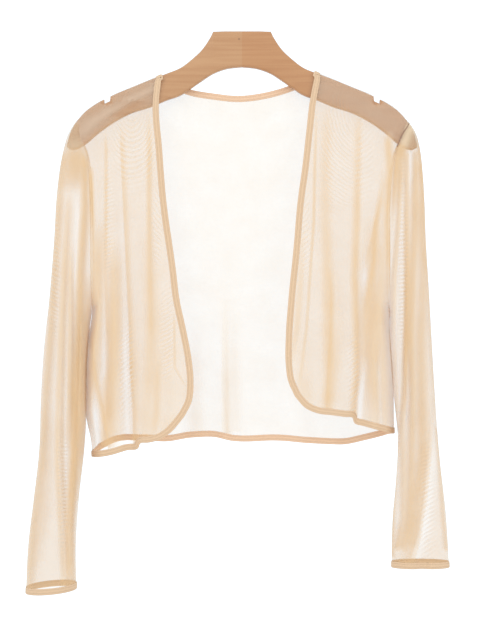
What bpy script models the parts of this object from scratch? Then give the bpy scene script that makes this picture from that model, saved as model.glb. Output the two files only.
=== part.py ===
"""A sheer bolero jacket on a contoured wooden hanger, at real size.

The origin is the middle of the flat top of the hanger's hub. +Z is up and the open front faces -Y.
Left and right are as seen from the front. Every size below is in millimetres.
"""

import math

import bmesh
import bpy
import numpy as np
from mathutils.bvhtree import BVHTree

MM = 0.001

# Driving sizes
CLOTH = 1.0
BINDING = 1.0
BINDING_WIDTH = 8.0
SEAM_GAP = 0.6
LIE_GAP = 0.7
BINDING_LIFT = CLOTH / 2 + LIE_GAP + BINDING / 2
BINDING_TRIM = 0.4
LEAST_LEAN = 0.8
BOARD = 12.0
BOARD_CORNER = 3.2
BOARD_CLEAR = 3.0
WRAP = BOARD / 2 + BOARD_CLEAR
ARM_SWEEP = -22.0
ARM_START = 20.0
ARM_REACH = 217.0
LEAVE_BOARD = 60.0
SIDE_CORNER = 16.0
FRONT_BELLY = 3.0
CUFF_DEPTH_LEFT = 31.0
CUFF_DEPTH_RIGHT = 25.0

# How finely the panels are divided
FRONT_COLUMNS = 15
BACK_SIDE_COLUMNS = 10
BACK_NECK_COLUMNS = 12
SIDE_ROWS = 9
SLEEVE_RINGS = 21
CLUSTER = 1.5

# A binding's fold round a cloth edge: distance into the cloth, distance off its middle
BINDING_FOLD = (
    (BINDING_WIDTH, BINDING_LIFT),
    (0.0, BINDING_LIFT),
    (-1.2, 0.0),
    (0.0, -BINDING_LIFT),
    (BINDING_WIDTH, -BINDING_LIFT),
)

# How the cloth turns over the board: distance from the board's middle, distance down from the shoulder line
SHOULDER_WRAP = (
    (0.0, 0.0),
    (WRAP * 0.45, 0.3),
    (WRAP * 0.85, 2.6),
    (WRAP, 6.5),
)

# Hanger outline, one half: distance from the middle, top edge, bottom edge
HANGER_HALF = (
    (0.0, 0.0, -44.5),
    (20.0, 0.0, -47.0),
    (36.0, -0.5, -53.0),
    (42.0, -12.0, -57.0),
    (50.5, -24.0, -62.5),
    (62.0, -35.0, -70.5),
    (76.0, -46.0, -80.0),
    (94.0, -55.2, -87.0),
    (113.0, -63.5, -95.5),
    (137.0, -74.5, -104.0),
    (162.0, -86.0, -118.0),
    (178.0, -94.8, -130.0),
    (193.0, -106.0, -143.0),
    (203.0, -118.5, -150.0),
    (210.0, -131.5, -151.0),
    (214.0, -138.5, -150.5),
)
END_SQUEEZE = 0.45
NOTCH_ACROSS = 166.5
NOTCH_WIDTH = 8.5
NOTCH_DEPTH = 8.0
NOTCH_CUTTER = 24.0

# Shoulder line of the cloth from the neck to the armhole: across, height
SHOULDER_LEFT = (
    (-100.5, -55.2),
    (-113.0, -60.7),
    (-137.0, -71.4),
    (-162.0, -82.6),
    (-178.0, -91.1),
    (-193.0, -101.9),
    (-206.0, -116.3),
)
SHOULDER_RIGHT = (
    (91.0, -50.9),
    (112.0, -60.1),
    (131.5, -68.8),
    (165.5, -84.0),
    (190.5, -99.5),
    (206.0, -116.1),
)

# Front edge from the neck down to the middle of the round corner: across, depth, height
EDGE_LEFT = (
    (-100.5, -15.0, -60.5),
    (-103.6, -17.0, -92.6),
    (-99.6, -19.0, -148.7),
    (-94.4, -21.0, -212.0),
    (-82.6, -26.0, -295.8),
    (-77.5, -30.0, -335.8),
    (-69.4, -33.0, -372.7),
    (-62.3, -36.0, -410.7),
    (-60.1, -38.0, -435.9),
    (-62.5, -40.0, -460.7),
    (-70.5, -40.0, -477.0),
)
EDGE_RIGHT = (
    (91.0, -14.0, -56.6),
    (85.5, -16.0, -84.4),
    (80.4, -18.0, -125.9),
    (75.3, -20.0, -171.0),
    (69.6, -22.0, -212.1),
    (64.1, -25.0, -274.1),
    (57.7, -30.0, -335.8),
    (54.4, -33.0, -382.5),
    (54.2, -36.0, -413.1),
    (57.0, -38.0, -434.4),
    (65.5, -39.0, -454.0),
)

# Front hem from the round corner to the side seam: across, depth, height
FRONT_HEM_LEFT = (
    (-70.5, -40.0, -477.0),
    (-77.1, -40.0, -485.7),
    (-88.4, -40.0, -498.2),
    (-101.0, -38.0, -508.4),
    (-126.4, -35.0, -515.6),
    (-159.3, -28.0, -525.4),
    (-187.0, -5.0, -530.4),
)
FRONT_HEM_RIGHT = (
    (65.5, -39.0, -454.0),
    (78.6, -40.0, -468.0),
    (92.7, -40.0, -474.1),
    (110.0, -38.0, -476.3),
    (135.0, -34.0, -480.5),
    (161.8, -28.0, -492.7),
    (190.0, -3.0, -501.5),
)

# Armhole from the shoulder to the underarm: across, height, depth in front, depth behind
ARMHOLE_LEFT = (
    (-198.5, -134.0, -30.5, -13.0),
    (-189.5, -160.0, -31.0, -10.0),
    (-186.0, -205.0, -31.0, -5.0),
    (-185.2, -262.0, -29.5, 2.0),
    (-185.0, -308.0, -26.5, 7.0),
    (-184.9, -333.0, -21.0, 6.0),
    (-184.8, -344.0, -13.5, 1.0),
    (-184.7, -347.0, -6.0, -6.0),
)
ARMHOLE_RIGHT = (
    (197.5, -132.0, -30.5, -13.0),
    (187.0, -158.0, -31.0, -10.0),
    (181.2, -205.0, -31.0, -5.0),
    (180.6, -262.0, -29.5, 2.0),
    (181.0, -308.0, -26.5, 7.0),
    (181.6, -333.0, -21.0, 6.0),
    (182.2, -344.0, -13.5, 1.0),
    (182.5, -347.0, -6.0, -6.0),
)

# Side seam from the underarm to the hem: across, depth, height
SIDE_LEFT = (
    (-184.7, -6.0, -347.0),
    (-188.0, -6.0, -380.0),
    (-190.8, -6.0, -420.0),
    (-190.5, -6.0, -470.0),
    (-187.0, -5.0, -530.4),
)
SIDE_RIGHT = (
    (182.5, -6.0, -347.0),
    (184.0, -6.0, -385.0),
    (187.0, -5.0, -430.0),
    (189.0, -4.0, -465.0),
    (190.0, -3.0, -501.5),
)

# Back neck and back hem from the left to the right: across, depth, height
BACK_NECK = (
    (-100.5, 0.5, -60.5),
    (-84.0, 3.5, -67.5),
    (-69.0, 6.5, -74.0),
    (-36.0, 8.5, -81.5),
    (-4.0, 9.0, -85.0),
    (29.0, 8.5, -80.7),
    (64.0, 6.5, -69.0),
    (78.0, 4.0, -62.0),
    (91.0, 1.5, -56.6),
)
BACK_HEM = (
    (-187.0, -5.0, -530.4),
    (-176.0, 17.0, -522.0),
    (-158.0, 24.0, -513.5),
    (-128.0, 28.0, -512.0),
    (-95.0, 30.0, -513.7),
    (-62.0, 30.0, -509.0),
    (-32.0, 30.0, -508.5),
    (-12.0, 30.0, -513.0),
    (43.0, 30.0, -512.8),
    (112.0, 30.0, -517.3),
    (132.0, 28.0, -517.5),
    (155.0, 25.0, -512.0),
    (176.0, 17.0, -506.5),
    (190.0, -3.0, -501.5),
)

# Hanging depth of the cloth below the hanger: height, front near the side, back near the side, back middle
HANGING = (
    (-60.0, -15.0, 1.0, 8.0),
    (-150.0, -31.0, -10.0, 11.0),
    (-205.0, -31.5, -5.0, 13.0),
    (-262.0, -30.0, 3.0, 15.0),
    (-308.0, -27.5, 9.0, 17.5),
    (-350.0, -26.0, 12.0, 20.0),
    (-420.0, -26.0, 15.0, 25.0),
    (-530.0, -25.0, 18.0, 30.0),
)

# Folds that hang in a panel: across at the top, across at the foot, top, foot, depth, half width
FOLDS_FRONT_LEFT = (
    (-150.0, -137.0, -150.0, -560.0, 7.0, 9.0),
    (-117.0, -114.0, -150.0, -440.0, -4.0, 9.0),
    (-172.0, -168.0, -190.0, -500.0, 4.5, 8.0),
)
FOLDS_FRONT_RIGHT = (
    (168.0, 140.0, -190.0, -530.0, 7.0, 10.0),
    (150.0, 104.0, -170.0, -560.0, -2.5, 16.0),
    (93.0, 88.0, -110.0, -300.0, 3.0, 8.0),
    (158.0, 166.0, -360.0, -530.0, -4.0, 8.0),
)
FOLDS_BACK = (
    (-24.0, -21.0, -300.0, -560.0, -7.0, 11.0),
    (-118.0, -128.0, -170.0, -560.0, -6.0, 14.0),
    (66.0, 78.0, -210.0, -560.0, -5.5, 13.0),
    (122.0, 138.0, -170.0, -560.0, 5.0, 13.0),
    (-70.0, -74.0, -330.0, -560.0, 5.0, 13.0),
)
FOLD_SWELLS = 0.3
FOLD_FADES = 0.08

# Sleeve edges from the shoulder to the cuff: across, depth, height
SLEEVE_OUTER_LEFT = (
    (-206.0, -21.0, -116.3),
    (-214.5, -22.5, -130.5),
    (-219.3, -23.0, -146.5),
    (-223.0, -23.0, -163.0),
    (-228.2, -23.0, -201.3),
    (-232.2, -23.0, -264.2),
    (-238.1, -23.0, -335.7),
    (-244.9, -22.0, -397.4),
    (-248.6, -22.0, -459.1),
    (-250.6, -21.0, -520.8),
    (-257.5, -21.0, -582.4),
    (-264.4, -20.0, -640.4),
    (-267.0, -20.0, -697.0),
)
SLEEVE_OUTER_RIGHT = (
    (206.0, -21.0, -116.1),
    (214.5, -22.5, -130.0),
    (219.3, -23.0, -147.7),
    (223.0, -23.0, -178.0),
    (225.2, -23.0, -212.4),
    (226.9, -23.0, -259.2),
    (230.6, -23.0, -320.9),
    (234.1, -22.0, -381.1),
    (238.0, -22.0, -448.0),
    (244.6, -21.0, -533.8),
    (252.1, -21.0, -600.9),
    (256.2, -20.0, -665.5),
)
SLEEVE_INNER_LEFT = (
    (-187.4, -6.0, -347.0),
    (-191.8, -9.0, -380.0),
    (-194.8, -13.0, -425.0),
    (-195.2, -16.0, -470.0),
    (-195.5, -18.0, -520.0),
    (-202.0, -20.0, -582.4),
    (-205.6, -20.0, -640.4),
    (-204.8, -20.0, -692.0),
)
SLEEVE_INNER_RIGHT = (
    (185.2, -6.0, -347.0),
    (187.9, -9.0, -385.0),
    (191.7, -13.0, -440.0),
    (195.6, -16.0, -496.0),
    (190.5, -18.0, -563.7),
    (186.2, -20.0, -608.3),
    (185.0, -20.0, -665.5),
)

# Folds along a sleeve: place at the top, place at the foot (0 outer edge to 1 inner edge),
# start, end (0 shoulder to 1 cuff), depth into the sleeve, half width as a share, face (-1 front, 1 back)
FOLDS_SLEEVE_LEFT = (
    (0.62, 0.80, 0.10, 0.98, 6.0, 0.10, -1),
    (0.40, 0.42, 0.20, 0.80, -3.0, 0.12, -1),
    (0.45, 0.60, 0.10, 0.98, 6.0, 0.11, 1),
)
FOLDS_SLEEVE_RIGHT = (
    (0.50, 0.62, 0.08, 0.60, 6.0, 0.10, -1),
    (0.35, 0.50, 0.50, 1.05, 5.0, 0.11, -1),
    (0.60, 0.45, 0.10, 0.98, 6.0, 0.11, 1),
)

CLOTH_COLOUR = (0.82, 0.66, 0.50)
BINDING_COLOUR = (0.72, 0.52, 0.36)
WOOD_COLOUR = (0.56, 0.33, 0.16)


def soft_step(value):
    """Rises smoothly from 0 to 1."""
    held = np.clip(value, 0.0, 1.0)
    return held * held * (3 - 2 * held)


def route(rows):
    """A smooth curve through the rows, read at a share of its length from 0 to 1."""
    knots = np.array(rows, float)
    steps = np.linalg.norm(np.diff(knots, axis=0), axis=1)
    run = np.concatenate([[0.0], np.cumsum(steps)]) / steps.sum()
    slopes = np.gradient(knots, run, axis=0)

    def at(share):
        i = int(np.clip(np.searchsorted(run, share, side="right") - 1, 0, len(run) - 2))
        span = run[i + 1] - run[i]
        u = (share - run[i]) / span
        start = (2 * u**3 - 3 * u**2 + 1) * knots[i] + (u**3 - 2 * u**2 + u) * span * slopes[i]
        end = (3 * u**2 - 2 * u**3) * knots[i + 1] + (u**3 - u**2) * span * slopes[i + 1]
        return start + end

    return at


def hanging(index, height):
    """One column of the table of hanging depths, read at a height."""
    rows = np.array(HANGING)[::-1]
    return float(np.interp(height, rows[:, 0], rows[:, index]))


def arm_depth(across):
    """The middle of the hanger's board sweeps forward towards its ends."""
    return ARM_SWEEP * soft_step((abs(across) - ARM_START) / (ARM_REACH - ARM_START))


def board_edge(across, index):
    """The height of the board's top (1) or bottom (2) edge."""
    half = np.array(HANGER_HALF)
    return float(np.interp(abs(across), half[:, 0], half[:, index]))


def fold_depth(folds, across, height):
    """How far the folds of a panel move a point back (+) or forward (-)."""
    moved = 0.0
    for top_x, foot_x, top, foot, depth, half_width in folds:
        down = (top - height) / (top - foot)
        if 0.0 <= down <= 1.0:
            middle = top_x + (foot_x - top_x) * down
            swell = soft_step(down / FOLD_SWELLS) * soft_step((1.0 - down) / FOLD_FADES)
            moved += depth * swell * math.exp(-(((across - middle) / half_width) ** 2))
    return moved


def hung_depth(across, height, side, free):
    """A point's depth: against the board, then hanging free below it. side is -1 in front, 1 behind."""
    on_board = arm_depth(across) + side * WRAP
    below = soft_step((board_edge(across, 2) - height + 6.0) / LEAVE_BOARD)
    return on_board + (free - on_board) * below


def panel_depth(across, height, side, free, face, seam_depth, from_side, folds):
    """A panel point's depth: hung from the board, turned in round the side to its seam, and folded."""
    turn = max(0.0, 1 - from_side / SIDE_CORNER)
    bend = 1 - math.sqrt(1 - turn * turn)
    depth = hung_depth(across, height, side, free)
    depth += (seam_depth - hung_depth(across, height, side, face)) * bend
    return depth + fold_depth(folds, across, height) * soft_step(from_side / SIDE_CORNER)


def shoulder_row(line, shares, forward, drop):
    """Points along a shoulder line, moved off the board's middle and down square to the line."""
    points = []
    for share in shares:
        here = line(share)
        ahead = line(min(share + 0.01, 1.0)) - line(max(share - 0.01, 0.0))
        ahead /= np.linalg.norm(ahead)
        down = np.array([ahead[1], -ahead[0]])
        if down[1] > 0:
            down = -down
        x, z = here + down * drop
        points.append(np.array([x, arm_depth(here[0]) + forward, z]))
    return points


def coons(top, bottom, inner, outer, across, down):
    """Fills the space between four edges, given as lists of points that meet at the corners."""
    grid = []
    for j, t in enumerate(down):
        row = []
        for i, s in enumerate(across):
            between = (1 - t) * top[i] + t * bottom[i] + (1 - s) * inner[j] + s * outer[j]
            first = (1 - t) * top[0] + t * bottom[0]
            last = (1 - t) * top[-1] + t * bottom[-1]
            row.append(between - (1 - s) * first - s * last)
        grid.append(row)
    return grid


def clustered(count):
    """Shares from 0 to 1 that lie closer together towards 1."""
    return [1 - (1 - i / count) ** CLUSTER for i in range(count + 1)]


def armhole_points(armhole, shoulder, side):
    """The armhole's edge in front (side -1) or behind (side 1), from the shoulder seam to the underarm."""
    line = route(shoulder)
    points = [shoulder_row(line, [1.0], side * spread, drop)[0] for spread, drop in SHOULDER_WRAP]
    for x, z, front, behind in armhole:
        points.append(np.array([x, front if side < 0 else behind, z]))
    return points


def outer_points(armhole, shoulder, side_seam, side):
    """A panel's outer edge below its turn over the board: the armhole, then the side seam."""
    seam = route(side_seam)
    upper = armhole_points(armhole, shoulder, side)[len(SHOULDER_WRAP) - 1 :]
    return upper + [seam(i / SIDE_ROWS) for i in range(1, SIDE_ROWS + 1)]


def height_shares(outer):
    """The share of a panel's height at each row, from the lengths between the points of its outer edge."""
    steps = np.linalg.norm(np.diff(np.array(outer), axis=0), axis=1)
    return np.concatenate([[0.0], np.cumsum(steps)]) / steps.sum()


def front_grid(shoulder, edge, hem, armhole, side_seam, folds):
    """Rows of points of a front, from the shoulder seam to the hem, each from the edge to the side."""
    across = clustered(FRONT_COLUMNS)
    line, edge_line, hem_line = route(shoulder), route(edge), route(hem)
    rows = [shoulder_row(line, across, -spread, drop) for spread, drop in SHOULDER_WRAP]
    outer = outer_points(armhole, shoulder, side_seam, -1)
    down = height_shares(outer)
    inner = [edge_line(t) for t in down]
    inner[0] = rows[-1][0]
    grid = coons(rows[-1], [hem_line(s) for s in across], inner, outer, across, down)
    for j in range(1, len(grid)):
        for i, s in enumerate(across):
            x, _, z = grid[j][i]
            face = hanging(1, z)
            free = (1 - s) * inner[j][1] + s * face - FRONT_BELLY * math.sin(math.pi * s)
            from_side = (1 - s) * abs(outer[j][0] - inner[j][0])
            grid[j][i][1] = panel_depth(x, z, -1, free, face, outer[j][1], from_side, folds)
    return rows[:-1] + grid


def back_grid(folds):
    """Rows of points of the back, from the shoulders and neck to the hem. Over the board the neck has none."""
    outward = clustered(BACK_SIDE_COLUMNS)
    lines = route(SHOULDER_LEFT), route(SHOULDER_RIGHT)
    left_caps = [shoulder_row(lines[0], outward, spread, drop)[::-1] for spread, drop in SHOULDER_WRAP]
    right_caps = [shoulder_row(lines[1], outward, spread, drop) for spread, drop in SHOULDER_WRAP]
    neck, hem = route(BACK_NECK), route(BACK_HEM)
    neck_points = [neck(i / BACK_NECK_COLUMNS) for i in range(1, BACK_NECK_COLUMNS)]
    top = left_caps[-1] + neck_points + right_caps[-1]
    left = outer_points(ARMHOLE_LEFT, SHOULDER_LEFT, SIDE_LEFT, 1)
    right = outer_points(ARMHOLE_RIGHT, SHOULDER_RIGHT, SIDE_RIGHT, 1)
    down = height_shares(left)
    places = np.array([point[0] for point in top])
    across = (places - places[0]) / (places[-1] - places[0])
    grid = coons(top, [hem(s) for s in across], left, right, across, down)
    for j in range(1, len(grid)):
        width = abs(right[j][0] - left[j][0])
        for i, s in enumerate(across):
            x, _, z = grid[j][i]
            face, centre = hanging(2, z), hanging(3, z)
            free = face + (centre - face) * math.sin(math.pi * s) ** 0.7
            seam_depth = left[j][1] if s < 0.5 else right[j][1]
            from_side = min(s, 1 - s) * width
            grid[j][i][1] = panel_depth(x, z, 1, free, face, seam_depth, from_side, folds)
    bare = [None] * len(neck_points)
    return [a + bare + b for a, b in zip(left_caps[:-1], right_caps[:-1])] + grid


def sleeve_half(side, armhole, shoulder, outer_edge, inner_edge, cuff_depth, folds):
    """The front (side -1) or back (side 1) half of a sleeve, in rows from the outer to the inner edge."""
    outer_line, inner_line = route(outer_edge), route(inner_edge)
    top = armhole_points(armhole, shoulder, side)
    count = len(top) - 1
    stand_off = inner_edge[0][0] - armhole[-1][0]
    top = [point + np.array([stand_off * (i / count) ** 4, 0.0, 0.0]) for i, point in enumerate(top)]
    angles = [math.pi * i / count for i in range(count + 1)]
    across = [(1 - math.cos(angle)) / 2 for angle in angles]
    start, end = outer_line(1.0), inner_line(1.0)
    cuff = []
    for angle, share in zip(angles, across):
        cuff.append(start + (end - start) * share + np.array([0.0, side * cuff_depth * math.sin(angle), 0.0]))
    down = [i / (SLEEVE_RINGS - 1) for i in range(SLEEVE_RINGS)]
    grid = coons(top, cuff, [outer_line(v) for v in down], [inner_line(v) for v in down], across, down)
    for at_top, at_foot, begin, finish, depth, half_width, face in folds:
        if face != side:
            continue
        for j, v in enumerate(down):
            along = (v - begin) / (finish - begin)
            if 0 <= along <= 1:
                middle = at_top + (at_foot - at_top) * along
                swell = soft_step(along / FOLD_SWELLS) * soft_step((1 - along) / FOLD_FADES)
                for i, s in enumerate(across):
                    grid[j][i][1] -= side * depth * swell * math.exp(-(((s - middle) / half_width) ** 2))
    return grid


def drawn_in(line, distance):
    """A line of points with both ends moved towards their neighbours."""
    moved = list(line)
    for end, next_in in ((0, 1), (-1, -2)):
        ahead = line[next_in] - line[end]
        moved[end] = line[end] + ahead / np.linalg.norm(ahead) * distance
    return moved


def part_seams(rows):
    """Leaves half the seam gap round all four sides of a panel. A row may have a bare stretch of None."""
    rows = [list(row) for row in rows]
    for row in rows:
        held = [i for i, point in enumerate(row) if point is not None]
        for i, point in zip(held, drawn_in([row[i] for i in held], SEAM_GAP / 2)):
            row[i] = point
    for i in range(len(rows[0])):
        held = [j for j in range(len(rows)) if rows[j][i] is not None]
        for j, point in zip(held, drawn_in([rows[j][i] for j in held], SEAM_GAP / 2)):
            rows[j][i] = point
    return rows


def cells(rows, ring=False):
    """The four corners, as (row, column), of each cell between rows of points. Bare cells are left out."""
    for j in range(len(rows) - 1):
        count = len(rows[j])
        for i in range(count if ring else count - 1):
            nxt = (i + 1) % count
            corners = ((j, i), (j, nxt), (j + 1, nxt), (j + 1, i))
            if all(rows[row][place] is not None for row, place in corners):
                yield corners


def walk_in(line, distance):
    """The point at a distance along a line of points, and the way on from there."""
    for here, ahead in zip(line, line[1:]):
        step = np.linalg.norm(ahead - here)
        if distance < step:
            return here + (ahead - here) / step * distance, ahead - here
        distance -= step
    return line[-1], line[-1] - line[-2]


def binding_rows(rows, lines, ring=False, flip=1.0):
    """Rows of a strip folded round a cloth's edge, from its outer face round the edge to its inner face.

    Each line starts at the edge and runs into the cloth. A line that leaves the edge at a slant only
    shows the way in, and the strip then lies on the nearest cloth.
    """
    corners = [[tuple(rows[j][i]) for j, i in cell] for cell in cells(rows, ring)]
    faces = [tuple(range(4 * k, 4 * k + 4)) for k in range(len(corners))]
    cloth = BVHTree.FromPolygons([point for cell in corners for point in cell], faces)
    count = len(lines)
    strip = [[] for _ in BINDING_FOLD]
    for k, line in enumerate(lines):
        before = lines[(k - 1) % count if ring else max(k - 1, 0)][0]
        after = lines[(k + 1) % count if ring else min(k + 1, count - 1)][0]
        along = after - before
        face = flip * np.cross(along, line[1] - line[0])
        face /= np.linalg.norm(face)
        inward = np.cross(face, along)
        inward *= np.sign(np.dot(inward, line[1] - line[0])) / np.linalg.norm(inward)
        lean = np.dot(inward, line[1] - line[0]) / np.linalg.norm(line[1] - line[0])
        for row, (distance, lift) in zip(strip, BINDING_FOLD):
            place, normal = line[0] + inward * distance, face
            if distance > 0 and lean > LEAST_LEAN:
                place, way = walk_in(line, distance / lean)
                normal = flip * np.cross(along, way)
                normal /= np.linalg.norm(normal)
            elif distance > 0:
                found, facet, _, _ = cloth.find_nearest(tuple(place))
                place, normal = np.array(found), np.array(facet)
                normal = normal * np.sign(np.dot(normal, face))
            row.append(place + normal * lift)
    return strip if ring else [drawn_in(row, BINDING_TRIM) for row in strip]


def plain_material(name, colour, roughness):
    material = bpy.data.materials.new(name)
    material.use_nodes = True
    shader = material.node_tree.nodes["Principled BSDF"]
    shader.inputs["Base Color"].default_value = (*colour, 1.0)
    shader.inputs["Roughness"].default_value = roughness
    shader.inputs["Metallic"].default_value = 0.0
    return material


def add_object(name, shape, material, collection):
    """Puts a finished bmesh in the scene as an object of its own."""
    mesh = bpy.data.meshes.new(name)
    shape.to_mesh(mesh)
    shape.free()
    made = bpy.data.objects.new(name, mesh)
    mesh.materials.append(material)
    collection.objects.link(made)
    return made


def wall(name, rows, thickness, material, ring=False):
    """A cloth wall through rows of points: an open surface, given its thickness by Solidify."""
    shape = bmesh.new()
    made = [[None if point is None else shape.verts.new(point * MM) for point in row] for row in rows]
    for cell in cells(rows, ring):
        shape.faces.new([made[j][i] for j, i in cell])
    bmesh.ops.recalc_face_normals(shape, faces=shape.faces)
    cloth = add_object(name, shape, material, jacket)
    cloth.data.shade_smooth()
    solid = cloth.modifiers.new("thickness", "SOLIDIFY")
    solid.thickness = thickness * MM
    solid.offset = 0.0
    return cloth


def board_section(across, top, bottom):
    """One upright section of the hanger's board, with its long edges eased. The two ends are smaller."""
    middle_y, middle_z = arm_depth(across), (top + bottom) / 2
    half, rise = BOARD / 2, (top - bottom) / 2
    easy_half, easy_rise = half - BOARD_CORNER, rise - BOARD_CORNER
    ring = (
        (-half, -easy_rise),
        (-easy_half, -rise),
        (easy_half, -rise),
        (half, -easy_rise),
        (half, easy_rise),
        (easy_half, rise),
        (-easy_half, rise),
        (-half, easy_rise),
    )
    size = END_SQUEEZE if abs(across) >= HANGER_HALF[-1][0] else 1.0
    return [np.array([across, middle_y + y * size, middle_z + z * size]) for y, z in ring]


def notch_cutter(name, side):
    """A block that sinks a strap notch in the top edge of one arm."""
    shape = bmesh.new()
    bmesh.ops.create_cube(shape, size=1.0)
    sizes = np.array([NOTCH_WIDTH, 2.5 * BOARD, NOTCH_CUTTER])
    height = board_edge(NOTCH_ACROSS, 1) - NOTCH_DEPTH + NOTCH_CUTTER / 2
    place = np.array([side * NOTCH_ACROSS, arm_depth(NOTCH_ACROSS), height])
    bmesh.ops.scale(shape, vec=sizes * MM, verts=shape.verts)
    bmesh.ops.translate(shape, vec=place * MM, verts=shape.verts)
    cutter = add_object(name, shape, wood, cutters)
    cutter.hide_render = True
    cutter.display_type = "WIRE"
    return cutter


def hanger():
    """The wooden board: a loft through its upright sections, closed at both ends, with the notches cut."""
    shape = bmesh.new()
    left_half = [(-x, top, bottom) for x, top, bottom in HANGER_HALF[:0:-1]]
    sections = []
    for station in left_half + list(HANGER_HALF):
        sections.append([shape.verts.new(point * MM) for point in board_section(*station)])
    for before, after in zip(sections, sections[1:]):
        for i in range(len(before)):
            nxt = (i + 1) % len(before)
            shape.faces.new((before[i], before[nxt], after[nxt], after[i]))
    shape.faces.new(sections[0])
    shape.faces.new(sections[-1])
    bmesh.ops.recalc_face_normals(shape, faces=shape.faces)
    board = add_object("hanger", shape, wood, jacket)
    for side, name in ((-1, "notch_left"), (1, "notch_right")):
        cut = board.modifiers.new(name, "BOOLEAN")
        cut.operation = "DIFFERENCE"
        cut.object = notch_cutter(name, side)


def front(side, flip, shoulder, edge, hem, armhole, seam, folds):
    """One front and the strip that binds its edge, its round corner and its hem."""
    panel = part_seams(front_grid(shoulder, edge, hem, armhole, seam, folds))
    wall(f"front_{side}", panel, CLOTH, sheer)
    corner = [[panel[-1][0], panel[-2][1]]]
    hem_lines = [[panel[-1 - k][i] for k in range(4)] for i in range(1, len(panel[0]))]
    strip = binding_rows(panel, panel[:-1] + corner + hem_lines, flip=flip)
    wall(f"front_binding_{side}", strip, BINDING, bound)


def back():
    """The back, the strip that binds its neck and the strip that binds its hem."""
    panel = part_seams(back_grid(FOLDS_BACK))
    wall("back", panel, CLOTH, sheer)
    over = len(SHOULDER_WRAP) - 1
    last_neck = BACK_SIDE_COLUMNS + BACK_NECK_COLUMNS
    up_left = [panel[j][BACK_SIDE_COLUMNS::-1] for j in range(over + 1)]
    neck = [[panel[over + k][i] for k in range(4)] for i in range(BACK_SIDE_COLUMNS + 1, last_neck)]
    down_right = [panel[j][last_neck:] for j in range(over, -1, -1)]
    wall("back_neck_binding", binding_rows(panel, up_left + neck + down_right), BINDING, bound)
    hem_lines = [[panel[-1 - k][i] for k in range(4)] for i in range(len(panel[0]))]
    wall("back_hem_binding", binding_rows(panel, hem_lines), BINDING, bound)


def sleeve(side, *sizes):
    """One sleeve, a tube from the armhole to the cuff in a front and a back wall, and its cuff's strip."""
    front_half, back_half = sleeve_half(-1, *sizes), sleeve_half(1, *sizes)
    rings = [ahead + behind[-2:0:-1] for ahead, behind in zip(front_half, back_half)]
    lines = [drawn_in([ring[i] for ring in rings], SEAM_GAP / 2) for i in range(len(rings[0]))]
    rings = [[line[j] for line in lines] for j in range(len(rings))]
    inner = len(front_half[0]) - 1
    front_wall = [drawn_in(ring[: inner + 1], SEAM_GAP / 2) for ring in rings]
    back_wall = [drawn_in(ring[inner:] + ring[:1], SEAM_GAP / 2) for ring in rings]
    wall(f"sleeve_front_{side}", front_wall, CLOTH, sheer)
    wall(f"sleeve_back_{side}", back_wall, CLOTH, sheer)
    cuff_lines = [line[:-5:-1] for line in lines]
    wall(f"cuff_binding_{side}", binding_rows(rings, cuff_lines, ring=True), BINDING, bound, ring=True)


for old in list(bpy.data.objects):
    bpy.data.objects.remove(old)
jacket = bpy.data.collections.new("bolero_jacket_on_hanger")
cutters = bpy.data.collections.new("cutters")
bpy.context.scene.collection.children.link(jacket)
bpy.context.scene.collection.children.link(cutters)
sheer = plain_material("sheer_mesh", CLOTH_COLOUR, 0.7)
bound = plain_material("self_binding", BINDING_COLOUR, 0.75)
wood = plain_material("wood", WOOD_COLOUR, 0.5)

hanger()
front(
    "left", -1.0, SHOULDER_LEFT, EDGE_LEFT, FRONT_HEM_LEFT, ARMHOLE_LEFT, SIDE_LEFT, FOLDS_FRONT_LEFT
)
front(
    "right", 1.0, SHOULDER_RIGHT, EDGE_RIGHT, FRONT_HEM_RIGHT, ARMHOLE_RIGHT, SIDE_RIGHT, FOLDS_FRONT_RIGHT
)
back()
sleeve(
    "left",
    ARMHOLE_LEFT,
    SHOULDER_LEFT,
    SLEEVE_OUTER_LEFT,
    SLEEVE_INNER_LEFT,
    CUFF_DEPTH_LEFT,
    FOLDS_SLEEVE_LEFT,
)
sleeve(
    "right",
    ARMHOLE_RIGHT,
    SHOULDER_RIGHT,
    SLEEVE_OUTER_RIGHT,
    SLEEVE_INNER_RIGHT,
    CUFF_DEPTH_RIGHT,
    FOLDS_SLEEVE_RIGHT,
)
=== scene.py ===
"""A sheer bolero jacket on a contoured wooden hanger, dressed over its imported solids.

Sizes in the tables are in millimetres, as in the part's source. The origin is the middle of the hub's top,
+Z is up, and the open front faces -Y. Left and right are as seen from the front.
"""

import math

import bmesh
import bpy
import numpy as np
from mathutils import Matrix, Vector
from mathutils.bvhtree import BVHTree


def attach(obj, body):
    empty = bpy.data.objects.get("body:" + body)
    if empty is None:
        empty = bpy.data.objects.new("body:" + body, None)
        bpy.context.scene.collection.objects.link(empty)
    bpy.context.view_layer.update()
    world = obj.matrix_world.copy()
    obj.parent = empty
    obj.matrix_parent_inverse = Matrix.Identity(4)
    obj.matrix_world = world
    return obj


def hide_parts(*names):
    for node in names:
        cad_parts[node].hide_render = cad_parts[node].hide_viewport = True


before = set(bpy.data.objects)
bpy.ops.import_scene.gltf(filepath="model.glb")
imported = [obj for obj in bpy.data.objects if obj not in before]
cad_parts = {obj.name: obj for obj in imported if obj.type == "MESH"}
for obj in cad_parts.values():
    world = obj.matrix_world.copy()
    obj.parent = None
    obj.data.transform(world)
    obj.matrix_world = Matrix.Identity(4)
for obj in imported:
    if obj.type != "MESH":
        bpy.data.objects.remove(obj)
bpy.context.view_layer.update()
MM = 0.001


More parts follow.
